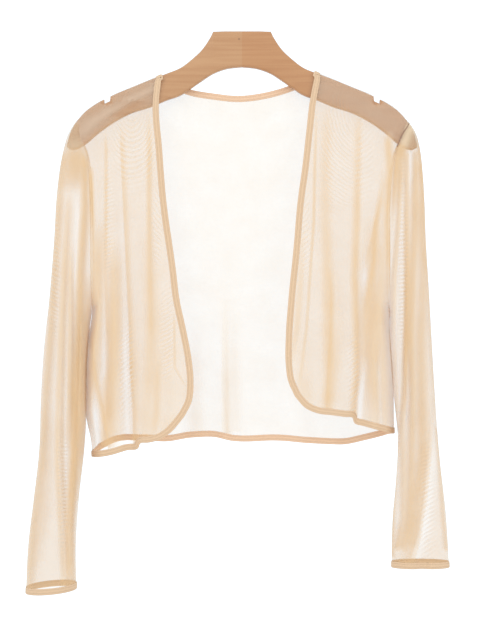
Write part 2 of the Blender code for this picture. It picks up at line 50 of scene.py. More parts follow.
# The hanger is one board of light hardwood, made of two halves glued at the middle of the hub.
# Its outline is sawn, its long edges are rounded over, and a strap notch is cut in the top of each arm.
# It is sanded and given a clear satin varnish.
HANGER_THICK = 12.0
HANGER_ROUND = 3.4
HANGER_STEP = 3.0
HUB_HALF = 36.0
HUB_FLAT = 20.0
HUB_FALL = 0.5
ARM_SWEEP = -22.0
ARM_START = 20.0
ARM_REACH = 217.0
END_ROUND = 7.0
END_THIN = 0.28
END_LOW = 0.45
RING_POINTS = 28
EDGE_POINTS = 401
HUB_EASE = 0.6
NOTCH_ACROSS = 166.5
NOTCH_WIDTH = 7.4
NOTCH_DEPTH = 5.5
NOTCH_EDGE = 0.3
PIN_KNOT = (-3.7, -6.0, -10.3)
WOOD_DARK = (0.425, 0.197, 0.08)
WOOD_LIGHT = (0.49, 0.25, 0.111)
RIGHT_HALF_TONE = (0.97, 0.895, 0.81)
GRAIN_STRETCH = (9.0, 60.0, 210.0)
HANGER_TOP = (
    (36.0, -0.5), (38.5, -6.0), (42.0, -12.0), (50.5, -24.0), (62.0, -35.0), (76.0, -46.0), (94.0, -54.0),
    (113.0, -61.8), (137.0, -72.4), (162.0, -83.6), (178.0, -92.1), (193.0, -103.0), (203.0, -114.2),
    (208.0, -121.5), (212.5, -130.5), (216.0, -141.0),
)
HANGER_BOTTOM = (
    (0.0, -44.5), (20.0, -47.0), (36.0, -53.0), (50.5, -62.5), (62.0, -70.5), (76.0, -80.0),
    (94.0, -87.0), (113.0, -95.5), (137.0, -104.0), (162.0, -118.0), (178.0, -130.0), (193.0, -143.0),
    (203.0, -149.0), (210.0, -150.5), (216.0, -149.0),
)


def soft_step(value):
    """Rises smoothly from 0 to 1."""
    held = np.clip(value, 0.0, 1.0)
    return held * held * (3 - 2 * held)


def route(rows, even=False):
    """A smooth curve through the rows, read at a share of its length, or of its rows where even."""
    knots = np.array(rows, float)
    steps = np.linalg.norm(np.diff(knots, axis=0), axis=1)
    if even:
        steps = np.ones(len(steps))
    run = np.concatenate([[0.0], np.cumsum(steps)]) / steps.sum()
    slopes = np.gradient(knots, run, axis=0)

    def at(share):
        i = int(np.clip(np.searchsorted(run, share, side="right") - 1, 0, len(run) - 2))
        span = run[i + 1] - run[i]
        u = (share - run[i]) / span
        start = (2 * u**3 - 3 * u**2 + 1) * knots[i] + (u**3 - 2 * u**2 + u) * span * slopes[i]
        end = (3 * u**2 - 2 * u**3) * knots[i + 1] + (u**3 - u**2) * span * slopes[i + 1]
        return start + end

    return at


def drawn_edge(rows):
    """One of the hanger's edges as (across, height) points close together, to read a height from."""
    line = route(rows)
    return np.array([line(share) for share in np.linspace(0.0, 1.0, EDGE_POINTS)])


TOP_EDGE, BOTTOM_EDGE = drawn_edge(HANGER_TOP), drawn_edge(HANGER_BOTTOM)


def board_top(across):
    if abs(across) <= HUB_HALF:
        return -HUB_FALL * soft_step((abs(across) - HUB_FLAT) / (HUB_HALF - HUB_FLAT))
    top = float(np.interp(abs(across), TOP_EDGE[:, 0], TOP_EDGE[:, 1]))
    return top - (NOTCH_DEPTH if abs(abs(across) - NOTCH_ACROSS) < NOTCH_WIDTH / 2 else 0.0)


def board_bottom(across):
    return float(np.interp(abs(across), BOTTOM_EDGE[:, 0], BOTTOM_EDGE[:, 1]))


def arm_depth(across):
    """The middle of the hanger's board sweeps forward towards its ends."""
    return ARM_SWEEP * soft_step((abs(across) - ARM_START) / (ARM_REACH - ARM_START))


def saw_board():
    """Rounded upright sections, one after another along the board, joined into one closed form."""
    shape = bmesh.new()
    reach = HANGER_TOP[-1][0]
    stations = list(np.arange(0.0, reach, HANGER_STEP)) + [reach]
    sides = [NOTCH_ACROSS + side * NOTCH_WIDTH / 2 for side in (-1, 1)]
    notch = [place + off for place in sides for off in (-NOTCH_EDGE, NOTCH_EDGE)]
    hub_corner = [HUB_HALF - HUB_EASE, HUB_HALF + HUB_EASE]
    stations = sorted({round(float(x), 3) for x in stations + notch + hub_corner})
    stations = [-x for x in stations[:0:-1]] + stations
    loops = []
    for across in stations:
        ring = bmesh.ops.create_circle(shape, segments=RING_POINTS, radius=1.0)["verts"]
        top, bottom = board_top(across), board_bottom(across)
        to_end = reach - abs(across)
        rounding = math.sqrt(1 - max(0.0, 1 - to_end / END_ROUND) ** 2)
        squeeze = END_THIN + (1 - END_THIN) * rounding
        half = HANGER_THICK / 2 * squeeze
        rise = (top - bottom) / 2 * (END_LOW + (1 - END_LOW) * min(1.0, squeeze * 1.02))
        corner = min(HANGER_ROUND, half * 0.8, rise * 0.8)
        middle = (top + bottom) / 2
        for vert in ring:
            cos, sin = vert.co.x, vert.co.y
            turned = math.atan2(sin, cos) + math.pi / RING_POINTS
            cos, sin = math.cos(turned), math.sin(turned)
            y = (half - corner) * math.copysign(1, cos) + corner * cos
            z = (rise - corner) * math.copysign(1, sin) + corner * sin
            vert.co = Vector((across, arm_depth(across) + y, middle + z)) * MM
        loops.append(ring)
    for before, after in zip(loops, loops[1:]):
        edges = {
            edge for ring in (before, after) for vert in ring for edge in vert.link_edges
            if edge.other_vert(vert) in ring
        }
        bmesh.ops.bridge_loops(shape, edges=list(edges))
    for ring in (loops[0], loops[-1]):
        bmesh.ops.contextual_create(shape, geom=ring)
    bmesh.ops.recalc_face_normals(shape, faces=shape.faces)
    return shape


def placed(name, shape, material, smooth=True):
    """A finished bmesh as an object of its own, at the origin."""
    mesh = bpy.data.meshes.new(name)
    shape.to_mesh(mesh)
    shape.free()
    made = bpy.data.objects.new(name, mesh)
    bpy.context.scene.collection.objects.link(made)
    mesh.materials.append(material)
    if smooth:
        mesh.shade_smooth()
    return made


def new_material(name, colour, roughness):
    """A Principled material, its node tree and its shader."""
    material = bpy.data.materials.new(name)
    material.use_nodes = True
    tree = material.node_tree
    shader = tree.nodes["Principled BSDF"]
    shader.inputs["Base Color"].default_value = (*colour, 1.0)
    shader.inputs["Roughness"].default_value = roughness
    return material, tree, shader


def add_node(tree, kind, inputs, **settings):
    """A shader node with its settings, and with each input linked to a socket or set to a value."""
    node = tree.nodes.new("ShaderNode" + kind)
    for setting, value in settings.items():
        setattr(node, setting, value)
    for key, value in inputs.items():
        if isinstance(value, bpy.types.NodeSocket):
            tree.links.new(value, node.inputs[key])
        else:
            node.inputs[key].default_value = value
    return node


def worked_out(tree, operation, *values, clamp=False):
    """The result of a Math node."""
    node = add_node(tree, "Math", dict(enumerate(values)), operation=operation, use_clamp=clamp)
    return node.outputs["Value"]


def multiplied(tree, colour, other, factor=1.0):
    """One colour multiplied by another."""
    inputs = {"Factor": factor, "A": colour, "B": other}
    return add_node(tree, "Mix", inputs, data_type="RGBA", blend_type="MULTIPLY").outputs["Result"]


def ramp_between(tree, factor, start, end):
    """A colour ramp between two stops, each a place and a colour."""
    ramp = add_node(tree, "ValToRGB", {"Fac": factor})
    for stop, (place, colour) in zip(ramp.color_ramp.elements, (start, end)):
        stop.position = place
        stop.color = (*colour, 1)
    return ramp


def varnished_wood():
    """Straight fine grain along the board, one small dark knot, and the two halves of the glued blank."""
    material, tree, shader = new_material("varnished_wood", WOOD_DARK, 0.42)
    shader.inputs["Coat Weight"].default_value = 0.12
    shader.inputs["Coat Roughness"].default_value = 0.3
    place = add_node(tree, "TexCoord", {}).outputs["Object"]
    stretch = add_node(tree, "Mapping", {"Vector": place, "Scale": GRAIN_STRETCH})
    noise = {"Vector": stretch.outputs["Vector"], "Scale": 1.0, "Detail": 5.0, "Distortion": 0.6}
    grain = add_node(tree, "TexNoise", noise).outputs["Fac"]
    tones = ramp_between(tree, grain, (0.3, WOOD_DARK), (0.72, WOOD_LIGHT)).outputs["Color"]
    split = add_node(tree, "SeparateXYZ", {"Vector": place})
    right_half = worked_out(tree, "GREATER_THAN", split.outputs["X"], 0.0)
    halves = multiplied(tree, tones, (*RIGHT_HALF_TONE, 1), right_half)
    knot = tuple(c * MM for c in PIN_KNOT)
    from_knot = add_node(tree, "VectorMath", {0: place, 1: knot}, operation="DISTANCE").outputs["Value"]
    fade = {"Value": from_knot, "From Min": 0.3 * MM, "From Max": 1.7 * MM, "To Min": 0.5}
    knotted = multiplied(tree, halves, add_node(tree, "MapRange", fade).outputs["Result"])
    tree.links.new(knotted, shader.inputs["Base Color"])
    bump = add_node(tree, "Bump", {"Strength": 0.08, "Distance": 0.0004, "Height": grain})
    tree.links.new(bump.outputs["Normal"], shader.inputs["Normal"])
    return material


board = placed("hanger_board", saw_board(), varnished_wood())
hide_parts("hanger")
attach(board, "root")


# The back is one panel of fine sheer mesh, cut whole with a scooped neck. It lies over the hanger's arms
# and hangs from them in long soft folds. The mesh is knitted of a thin cream yarn, so what is behind shows
# through, and it looks denser where it turns away or lies double.
BOARD_CLEAR = 3.0
WRAP = HANGER_THICK / 2 + BOARD_CLEAR
WRAP_DROP = 6.5
WRAP_ROWS = 6
LEAVE_BOARD = 60.0
LEAVE_ABOVE = 6.0
LAST_UNDER = 213.0
SIDE_CORNER = 16.0
SEAM_ALLOWANCE = 1.8
SEAM_POINTS = 9
FOLD_SWELLS = 0.3
FOLD_FADES = 0.08
CLUSTER = 1.5
PANEL_ROWS = 130
# Shoulder rows are across and height. Armhole rows are across, height, and the depths of the front's and the
# back's edge. Every other edge row is a point: across, depth and height.
SHOULDER_LEFT = (
    (-100.5, -55.2), (-113.0, -60.7), (-137.0, -71.4), (-162.0, -82.6), (-178.0, -91.1), (-193.0, -101.9),
    (-206.0, -116.3),
)
SHOULDER_RIGHT = (
    (91.0, -50.9), (112.0, -60.1), (131.5, -68.8), (165.5, -84.0), (190.5, -99.5), (206.0, -116.1),
)
ARMHOLE_LEFT = (
    (-198.5, -134.0, -30.5, -13.0), (-189.5, -160.0, -31.0, -10.0), (-186.0, -205.0, -31.0, -5.0),
    (-185.2, -262.0, -29.5, 2.0), (-185.0, -308.0, -26.5, 7.0), (-184.9, -333.0, -21.0, 6.0),
    (-184.8, -344.0, -13.5, 1.0), (-184.7, -347.0, -6.0, -6.0),
)
ARMHOLE_RIGHT = (
    (197.5, -132.0, -30.5, -13.0), (187.0, -158.0, -31.0, -10.0), (181.2, -205.0, -31.0, -5.0),
    (180.6, -262.0, -29.5, 2.0), (181.0, -308.0, -26.5, 7.0), (181.6, -333.0, -21.0, 6.0),
    (182.2, -344.0, -13.5, 1.0), (182.5, -347.0, -6.0, -6.0),
)
SIDE_LEFT = (
    (-184.7, -6.0, -347.0), (-190.5, -5.0, -375.0), (-194.6, -4.0, -398.5), (-196.2, -4.0, -438.0),
    (-194.6, -4.0, -483.0), (-190.9, -4.0, -498.0), (-187.4, -5.0, -518.0), (-187.0, -5.0, -530.4),
)
SIDE_RIGHT = (
    (182.5, -6.0, -347.0), (185.0, -6.0, -385.0), (188.5, -5.0, -430.0), (189.5, -4.0, -465.0),
    (190.0, -3.0, -501.5),
)
BACK_NECK = (
    (-100.5, 0.5, -60.5), (-84.0, 3.5, -64.5), (-69.0, 6.5, -70.5), (-36.0, 8.5, -76.5),
    (-4.0, 9.0, -79.5), (29.0, 8.5, -75.5), (64.0, 6.5, -65.5), (78.0, 4.0, -60.0), (91.0, 1.5, -56.6),
)
BACK_HEM = (
    (-187.0, -5.0, -530.4), (-176.0, 17.0, -522.0), (-158.0, 24.0, -513.5), (-128.0, 28.0, -512.0),
    (-95.0, 30.0, -513.7), (-62.0, 30.0, -509.0), (-32.0, 30.0, -508.5), (-12.0, 30.0, -513.0),
    (43.0, 30.0, -512.8), (112.0, 30.0, -517.3), (132.0, 28.0, -517.5), (155.0, 25.0, -512.0),
    (176.0, 17.0, -506.5), (190.0, -3.0, -501.5),
)
# Rows of height, then the depth of a hanging front, of the back near its sides, and of the back's middle.
HANGING = (
    (-60.0, -15.0, 1.0, 8.0), (-150.0, -31.0, -10.0, 11.0), (-205.0, -31.5, -5.0, 13.0),
    (-262.0, -30.0, 3.0, 15.0), (-308.0, -27.5, 9.0, 17.5), (-350.0, -26.0, 12.0, 20.0),
    (-420.0, -26.0, 15.0, 25.0), (-530.0, -25.0, 18.0, 30.0),
)
# A panel's fold: its place across at its top and its foot, their heights, its depth and its half width.
FOLDS_BACK = (
    (-24.0, -21.0, -300.0, -560.0, -7.0, 11.0), (-118.0, -128.0, -170.0, -560.0, -6.0, 14.0),
    (66.0, 78.0, -210.0, -560.0, -5.5, 13.0), (122.0, 138.0, -170.0, -560.0, 5.0, 13.0),
    (-70.0, -74.0, -330.0, -560.0, 5.0, 13.0),
)
BACK_SIDE_COLUMNS = 30
BACK_NECK_COLUMNS = 48
BACK_ROUND = 0.7
STREAKS_BACK = (
    (4.0, 4.0, ((-22.0, -330.0, 0.0), (-21.0, -400.0, 0.6), (-20.0, -460.0, 0.9), (-19.0, -512.0, 1.0))),
    (8.0, 8.0, ((-12.0, -340.0, 0.0), (-10.0, -420.0, 0.35), (-8.0, -500.0, 0.35))),
    (10.0, 10.0, ((-62.0, -380.0, 0.0), (-60.0, -440.0, 0.4), (-58.0, -512.0, 0.5))),
)
LIGHT_THROUGH = 0.606
BACK_LAYERS = 1.08
FEWEST_LAYERS = 0.12
MOST_LAYERS = 6.0
REST_BELOW = 3.0
REST_FADE = 6.0
REST_END_FADE = 4.0
NOTCH_GAPS = tuple(
    (4.4, 4.4, ((x, -78.0, 0.0), (x, -80.0, -3.0), (x, -93.0, -3.0), (x, -95.5, 0.0)))
    for x in (-166.8, 167.2)
)
STREAK_RELIEF = 0.8
RELIEF_FADE = 30.0
RELIEF_TOP = -110.0
RELIEF_ENDS = 12.0
CLOTH_COLOUR = (0.66, 0.41, 0.20)
RESTING_COLOUR = (0.70, 0.505, 0.355)
RIPPLE_PITCH = 4.8
RIPPLE_WANDER = 6.0
BACK_CUT = (420.0, 460.0)
CAP_CUT = (118.0, 11.0)
WELD = 0.00005


def hanging(index, height):
    """One column of the table of hanging depths, read at a height."""
    rows = np.array(HANGING)[::-1]
    return float(np.interp(height, rows[:, 0], rows[:, index]))


def fold_depth(folds, across, height):
    """How far the folds of a panel move a point back (+) or forward (-)."""
    moved = 0.0
    for top_x, foot_x, top, foot, depth, half_width in folds:
        down = (top - height) / (top - foot)
        if 0.0 <= down <= 1.0:
            middle = top_x + (foot_x - top_x) * down
            swell = soft_step(down / FOLD_SWELLS) * soft_step((1.0 - down) / FOLD_FADES)
            moved += depth * swell * math.exp(-(((across - middle) / half_width) ** 2))
    return moved


def hung_depth(across, height, side, free):
    """A point's depth: against the board, then hanging free below it. side is -1 in front, 1 behind."""
    on_board = arm_depth(across) + side * WRAP
    under = board_bottom(min(abs(across), LAST_UNDER))
    below = soft_step((under - height + LEAVE_ABOVE) / LEAVE_BOARD)
    return on_board + (free - on_board) * below


def panel_depth(across, height, side, free, face, seam_depth, from_side, folds):
    """A panel point's depth: hung from the board, turned in round the side to its seam, and folded."""
    turn = max(0.0, 1 - from_side / SIDE_CORNER)
    bend = turn * turn
    depth = hung_depth(across, height, side, free)
    depth += (seam_depth - hung_depth(across, height, side, face)) * bend
    return depth + fold_depth(folds, across, height) * soft_step(from_side / SIDE_CORNER)


def shoulder_row(line, shares, forward, drop):
    """Points along a shoulder line, moved off the board's middle and down square to the line."""
    points = []
    for share in shares:
        here = line(share)
        ahead = line(min(share + 0.01, 1.0)) - line(max(share - 0.01, 0.0))
        ahead /= np.linalg.norm(ahead)
        down = np.array([ahead[1], -ahead[0]])
        if down[1] > 0:
            down = -down
        x, z = here + down * drop
        points.append(np.array([x, arm_depth(here[0]) + forward, z]))
    return points


def wrap_steps():
    """How the cloth turns over the board: distance from the board's middle, distance down."""
    angles = [math.pi / 2 * i / WRAP_ROWS for i in range(WRAP_ROWS + 1)]
    return [(WRAP * math.sin(angle), WRAP_DROP * (1 - math.cos(angle))) for angle in angles]


def coons(top, bottom, inner, outer, across, down):
    """Fills the space between four edges, given as lists of points that meet at the corners."""
    top, bottom, inner, outer = (np.array(edge) for edge in (top, bottom, inner, outer))
    s, t = np.array(across)[None, :, None], np.array(down)[:, None, None]
    between = (1 - t) * top[None] + t * bottom[None] + (1 - s) * inner[:, None] + s * outer[:, None]
    first, last = (1 - t) * top[0] + t * bottom[0], (1 - t) * top[-1] + t * bottom[-1]
    return between - (1 - s) * first - s * last


def clustered(count):
    """Shares from 0 to 1 that lie closer together towards 1."""
    return [1 - (1 - i / count) ** CLUSTER for i in range(count + 1)]


def armhole_line(armhole, shoulder, side):
    """The armhole's edge in front (side -1) or behind (side 1), from the shoulder seam to the underarm."""
    line = route(shoulder)
    points = []
    for spread, drop in ((0.0, 0.0), (WRAP * 0.45, 0.3), (WRAP * 0.85, 2.6), (WRAP, WRAP_DROP)):
        points.append(shoulder_row(line, [1.0], side * spread, drop)[0])
    for x, z, front, behind in armhole:
        points.append(np.array([x, front if side < 0 else behind, z]))
    return points


def outer_line(armhole, shoulder, side_seam, side):
    """A panel's outer edge below its turn over the board: the armhole, then the side seam."""
    seam = route(side_seam)
    upper = armhole_line(armhole, shoulder, side)[3:]
    outwards = math.copysign(SEAM_ALLOWANCE, armhole[0][0])
    upper = [point + np.array([outwards * min(1.0, i / 2), 0.0, 0.0]) for i, point in enumerate(upper)]
    edge = route(upper + [seam(i / SEAM_POINTS) for i in range(1, SEAM_POINTS + 1)])
    return [edge(i / PANEL_ROWS) for i in range(PANEL_ROWS + 1)]


def back_rows(folds):
    """Rows of points of the back from the neck line down, and the two caps that turn over the board."""
    outward = clustered(BACK_SIDE_COLUMNS)
    lines = route(SHOULDER_LEFT), route(SHOULDER_RIGHT)
    caps = [[shoulder_row(line, outward, spread, drop) for spread, drop in wrap_steps()] for line in lines]
    neck, hem = route(BACK_NECK), route(BACK_HEM)
    neck_points = [neck(i / BACK_NECK_COLUMNS) for i in range(1, BACK_NECK_COLUMNS)]
    top = caps[0][-1][::-1] + neck_points + caps[1][-1]
    left = outer_line(ARMHOLE_LEFT, SHOULDER_LEFT, SIDE_LEFT, 1)
    right = outer_line(ARMHOLE_RIGHT, SHOULDER_RIGHT, SIDE_RIGHT, 1)
    left[0], right[0] = top[0], top[-1]
    down = [i / PANEL_ROWS for i in range(PANEL_ROWS + 1)]
    places = np.array([point[0] for point in top])
    across = (places - places[0]) / (places[-1] - places[0])
    grid = coons(top, [hem(s) for s in across], left, right, across, down)
    for j in range(1, len(grid)):
        width = abs(right[j][0] - left[j][0])
        for i, s in enumerate(across):
            x, _, z = grid[j][i]
            face, centre = hanging(2, z), hanging(3, z)
            free = face + (centre - face) * math.sin(math.pi * min(max(s, 0.0), 1.0)) ** BACK_ROUND
            seam_depth = left[j][1] if s < 0.5 else right[j][1]
            from_side = max(0.0, min(s, 1 - s)) * width
            grid[j][i][1] = panel_depth(x, z, 1, free, face, seam_depth, from_side, folds)
    return grid, caps


def cut_cloth(shape, rows, across_size, down_size, start=(0.0, 0.0)):
    """Lays a new bmesh grid over rows of points, with its own UV map in metres of cloth."""
    count, high = len(rows[0]), len(rows)
    layer = shape.loops.layers.uv.verify()
    made = bmesh.ops.create_grid(shape, x_segments=count - 1, y_segments=high - 1, size=0.5)["verts"]
    made = sorted(made, key=lambda vert: (round(-vert.co.y, 5), vert.co.x))
    places = {}
    for k, vert in enumerate(made):
        j, i = divmod(k, count)
        u, v = start[0] + across_size * i / (count - 1), start[1] + down_size * (1 - j / (high - 1))
        places[vert] = (u * MM, v * MM)
        vert.co = Vector(rows[j][i]) * MM
    for face in {face for vert in made for face in vert.link_faces}:
        for loop in face.loops:
            loop[layer].uv = places[loop.vert]


def sewn(name, material, grids, weld=0.0):
    """One cloth object of grids of points, each with its size across and down and its start on the UV map."""
    shape = bmesh.new()
    for grid in grids:
        cut_cloth(shape, *grid)
    if weld:
        bmesh.ops.remove_doubles(shape, verts=shape.verts, dist=weld)
    bmesh.ops.recalc_face_normals(shape, faces=shape.faces)
    return placed(name, shape, material)


def streak_layers(streaks, places):
    """Extra layers of yarn along each fold line. A line has a half width to its left and right, and its
    knots are across, height and layers."""
    total = np.zeros(len(places))
    for left, right, knots in streaks:
        knots = np.array(knots)[::-1]
        middle = np.interp(places[:, 2], knots[:, 1], knots[:, 0])
        more = np.interp(places[:, 2], knots[:, 1], knots[:, 2])
        more = np.where((places[:, 2] < knots[0, 1] - 3) | (places[:, 2] > knots[-1, 1] + 3), 0.0, more)
        off = places[:, 0] - middle
        total += more * np.exp(-((off / np.where(off < 0, left, right)) ** 2))
    return total


def raise_folds(rows, streaks):
    """Moves a front's cloth forward by the depth of its gathered lines, fading out at its edges."""
    foot = np.array(rows[-1], float)[:, 2]
    for j, row in enumerate(rows):
        row = np.array(row, float)
        fade = np.clip((row[:, 2] - foot) / RELIEF_FADE, 0.0, 1.0)
        fade *= np.clip((RELIEF_TOP - row[:, 2]) / RELIEF_FADE, 0.0, 1.0)
        ends = np.minimum(np.abs(row[:, 0] - row[0, 0]), np.abs(row[:, 0] - row[-1, 0]))
        fade *= np.clip(ends / RELIEF_ENDS, 0.0, 1.0)
        row[:, 1] -= STREAK_RELIEF * fade * streak_layers(streaks, row)
        rows[j] = row


def measure_density(cloth, layers, streaks, share=1.0, ripples=()):
    """Stores how much of the view the yarn covers at each place: more along the lines where it is gathered.
    Also stores where the cloth rests on the board and where two layers ripple against each other."""
    mesh = cloth.data
    places = np.empty(len(mesh.vertices) * 3)
    mesh.vertices.foreach_get("co", places)
    places = places.reshape(-1, 3) / MM
    total = layers + share * streak_layers(streaks, places)
    cover = 1 - LIGHT_THROUGH ** np.clip(total, FEWEST_LAYERS, MOST_LAYERS)
    under = np.interp(np.abs(places[:, 0]), BOTTOM_EDGE[:, 0], BOTTOM_EDGE[:, 1])
    resting = soft_step((places[:, 2] - under + REST_BELOW) / REST_FADE)
    resting *= soft_step((ARM_REACH - np.abs(places[:, 0])) / REST_END_FADE)
    shown, waves = np.zeros(len(places)), np.zeros(len(places))
    for x, z, half_across, half_down, strength, centre_x, centre_z, close_across, close_down in ripples:
        inside = ((places[:, 0] - x) / half_across) ** 2 + ((places[:, 2] - z) / half_down) ** 2
        here = strength * np.exp(-(inside**2))
        away = np.hypot(close_across * (places[:, 0] - centre_x), close_down * (places[:, 2] - centre_z))
        waves = np.where(here > shown, 2 * math.pi * away / RIPPLE_PITCH, waves)
        shown = np.maximum(shown, here)
    for name, values in (("cover", cover), ("resting", resting), ("ripple", shown), ("ripple_phase", waves)):
        stored = mesh.attributes.new(name, "FLOAT", "POINT")
        stored.data.foreach_set("value", values.astype(np.float32))


def sheer_mesh(name, colour, resting_colour):
    """Fine knitted mesh: see-through between its yarns, with faint rows of stitches and slubs. Where it hangs
    close over a second layer, the two knits show wavy lines. Where it lies on the board it looks paler."""
    material, tree, shader = new_material(name, colour, 0.75)
    shader.inputs["Sheen Weight"].default_value = 0.15
    shader.inputs["Sheen Roughness"].default_value = 0.5
    resting, ripple, phase, cover = (
        add_node(tree, "Attribute", {}, attribute_name=stored).outputs["Fac"]
        for stored in ("resting", "ripple", "ripple_phase", "cover")
    )
    shades = {"Factor": resting, "A": (*colour, 1), "B": (*resting_colour, 1)}
    paler = add_node(tree, "Mix", shades, data_type="RGBA")
    tree.links.new(paler.outputs["Result"], shader.inputs["Base Color"])
    place = add_node(tree, "TexCoord", {}).outputs["Object"]
    wander = add_node(tree, "TexNoise", {"Vector": place, "Scale": 60.0, "Detail": 1.0}).outputs["Fac"]
    waves = worked_out(tree, "SINE", worked_out(tree, "MULTIPLY_ADD", wander, RIPPLE_WANDER, phase))
    rippled = worked_out(tree, "MULTIPLY_ADD", waves, ripple, 1.0)
    on_cloth = add_node(tree, "UVMap", {}).outputs["UV"]
    knit = {"Vector": on_cloth, "Scale": 320.0, "Distortion": 1.2, "Detail": 1.0, "Detail Scale": 0.4}
    rows = add_node(tree, "TexWave", knit, bands_direction="Y").outputs["Fac"]
    weave = add_node(tree, "MapRange", {"Value": rows, "To Min": 0.9, "To Max": 1.1}).outputs["Result"]
    slubs = add_node(tree, "TexNoise", {"Vector": on_cloth, "Scale": 28.0, "Detail": 3.0}).outputs["Fac"]
    spread = {"Value": slubs, "From Min": 0.3, "From Max": 0.7, "To Min": 0.94, "To Max": 1.06}
    uneven = add_node(tree, "MapRange", spread).outputs["Result"]
    knitted = worked_out(tree, "MULTIPLY", worked_out(tree, "MULTIPLY", weave, uneven), rippled)
    tree.links.new(worked_out(tree, "MULTIPLY", knitted, cover, clamp=True), shader.inputs["Alpha"])
    return material


mesh_cloth = sheer_mesh("sheer_mesh_cloth", CLOTH_COLOUR, RESTING_COLOUR)

back_grid, back_caps = back_rows(FOLDS_BACK)
grids = [(back_grid, *BACK_CUT)]
for rows, start in zip(back_caps, (0.0, 300.0)):
    grids.append((rows, *CAP_CUT, (start, BACK_CUT[1] + 1.0)))
back_panel = sewn("back_panel", mesh_cloth, grids, WELD)
measure_density(back_panel, BACK_LAYERS, STREAKS_BACK + NOTCH_GAPS)
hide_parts("back")
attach(back_panel, "root")


# Each front is one panel of the same mesh. It hangs edge to edge with the other and has no closing, and its
# lower corner is cut round. It is joined to the back over the board and down the side.
FRONT_COLUMNS = 150
FRONT_LAYERS = {"left": 0.86, "right": 0.8}
FRONT_SHARE = 1.35
FRONT_CUT = (130.0, 480.0)
STREAKS_FRONT_LEFT = (
    (11.0, 8.0, (
        (-106.0, -70.0, 0.3), (-113.3, -75.4, 0.5), (-134.0, -86.5, 0.7), (-153.9, -98.7, 0.8),
        (-181.0, -114.0, 0.7), (-194.6, -129.6, 0.5), (-205.0, -142.0, 0.0),
    )),
    (16.0, 16.0, ((-136.0, -92.0, -0.5), (-150.0, -108.0, -0.4), (-160.0, -112.0, 0.0))),
    (2.0, 2.0, (
        (-168.6, -124.2, 0.0), (-167.3, -151.3, 0.9), (-167.3, -218.9, 1.0), (-168.6, -298.9, 0.5),
        (-166.1, -370.2, 0.6), (-164.9, -397.3, 0.0),
    )),
    (3.5, 3.5, (
        (-150.0, -200.0, 0.0), (-147.0, -300.0, -0.25), (-144.5, -400.0, -0.45), (-140.5, -512.0, -0.4),
    )),
    (1.0, 4.5, (
        (-150.1, -120.5, 0.0), (-148.9, -151.3, 0.9), (-145.8, -218.9, 1.0), (-142.1, -298.9, 1.1),
        (-138.4, -370.2, 1.2), (-137.2, -424.4, 1.3), (-133.5, -473.6, 1.1), (-132.9, -515.4, 1.0),
    )),
    (3.0, 3.0, (
        (-115.7, -102.1, 0.0), (-114.4, -151.3, 1.2), (-114.4, -218.9, 1.2), (-113.2, -298.9, 0.9),
        (-112.0, -370.2, 0.5), (-110.7, -397.3, 0.0),
    )),
    (8.0, 8.0, (
        (-115.7, -231.2, 0.0), (-113.2, -298.9, 0.6), (-110.7, -370.2, 1.0), (-113.2, -424.4, 0.8),
        (-118.1, -473.6, 0.6), (-118.1, -508.0, 0.3),
    )),
    (5.0, 4.0, (
        (-100.9, -397.3, 0.0), (-103.4, -424.4, 0.8), (-104.6, -473.6, 1.0), (-108.3, -503.1, 0.4),
    )),
    (1.2, 1.2, (
        (-83.7, -350.6, 0.0), (-83.1, -370.2, 0.9), (-82.5, -418.2, 0.8), (-75.1, -431.7, 0.7),
        (-67.7, -444.0, 0.0),
    )),
    (10.0, 10.0, (
        (-177.2, -234.9, 0.0), (-177.2, -274.3, 1.0), (-179.6, -323.5, 1.4), (-182.1, -372.7, 1.7),
        (-187.0, -424.4, 1.8), (-194.4, -473.6, 1.2), (-194.4, -508.0, 0.3),
    )),
    (7.0, 10.0, (
        (-157.5, -255.8, 0.0), (-157.5, -298.9, 1.0), (-158.7, -370.2, 1.7), (-161.2, -424.4, 1.8),
        (-164.9, -473.6, 1.7), (-166.1, -514.1, 1.2),
    )),
    (4.0, 4.0, (
        (-169.8, -262.0, 0.0), (-171.0, -370.2, -0.5), (-169.8, -424.4, -0.6), (-174.7, -440.3, 0.0),
    )),
    (2.5, 2.5, (
        (-185.8, -169.7, 0.0), (-185.8, -185.7, 2.2), (-184.5, -218.9, 1.8), (-183.3, -255.8, 0.6),
        (-183.3, -286.6, 0.0),
    )),
    (3.0, 5.0, (
        (-183.3, -437.9, 0.0), (-183.5, -458.8, -0.45), (-181.5, -477.2, -0.7), (-179.4, -495.7, -0.7),
        (-177.4, -515.4, -0.5),
    )),
    (3.0, 2.4, (
        (-186.0, -372.0, 0.0), (-184.5, -391.4, 0.8), (-179.5, -434.7, 1.1), (-173.0, -466.0, 1.1),
        (-167.2, -496.6, 0.9), (-165.0, -514.0, 0.5),
    )),
    (5.0, 5.0, (
        (-130.4, -335.8, 0.0), (-130.4, -385.0, 0.3), (-130.4, -424.4, 0.5), (-128.0, -473.6, 0.3),
        (-126.7, -503.1, 0.0),
    )),
    (12.0, 12.0, (
        (-94.8, -335.8, 0.0), (-94.8, -372.7, 0.2), (-91.1, -434.2, 0.3), (-88.6, -473.6, 0.1),
        (-86.1, -495.7, 0.6),
    )),
)
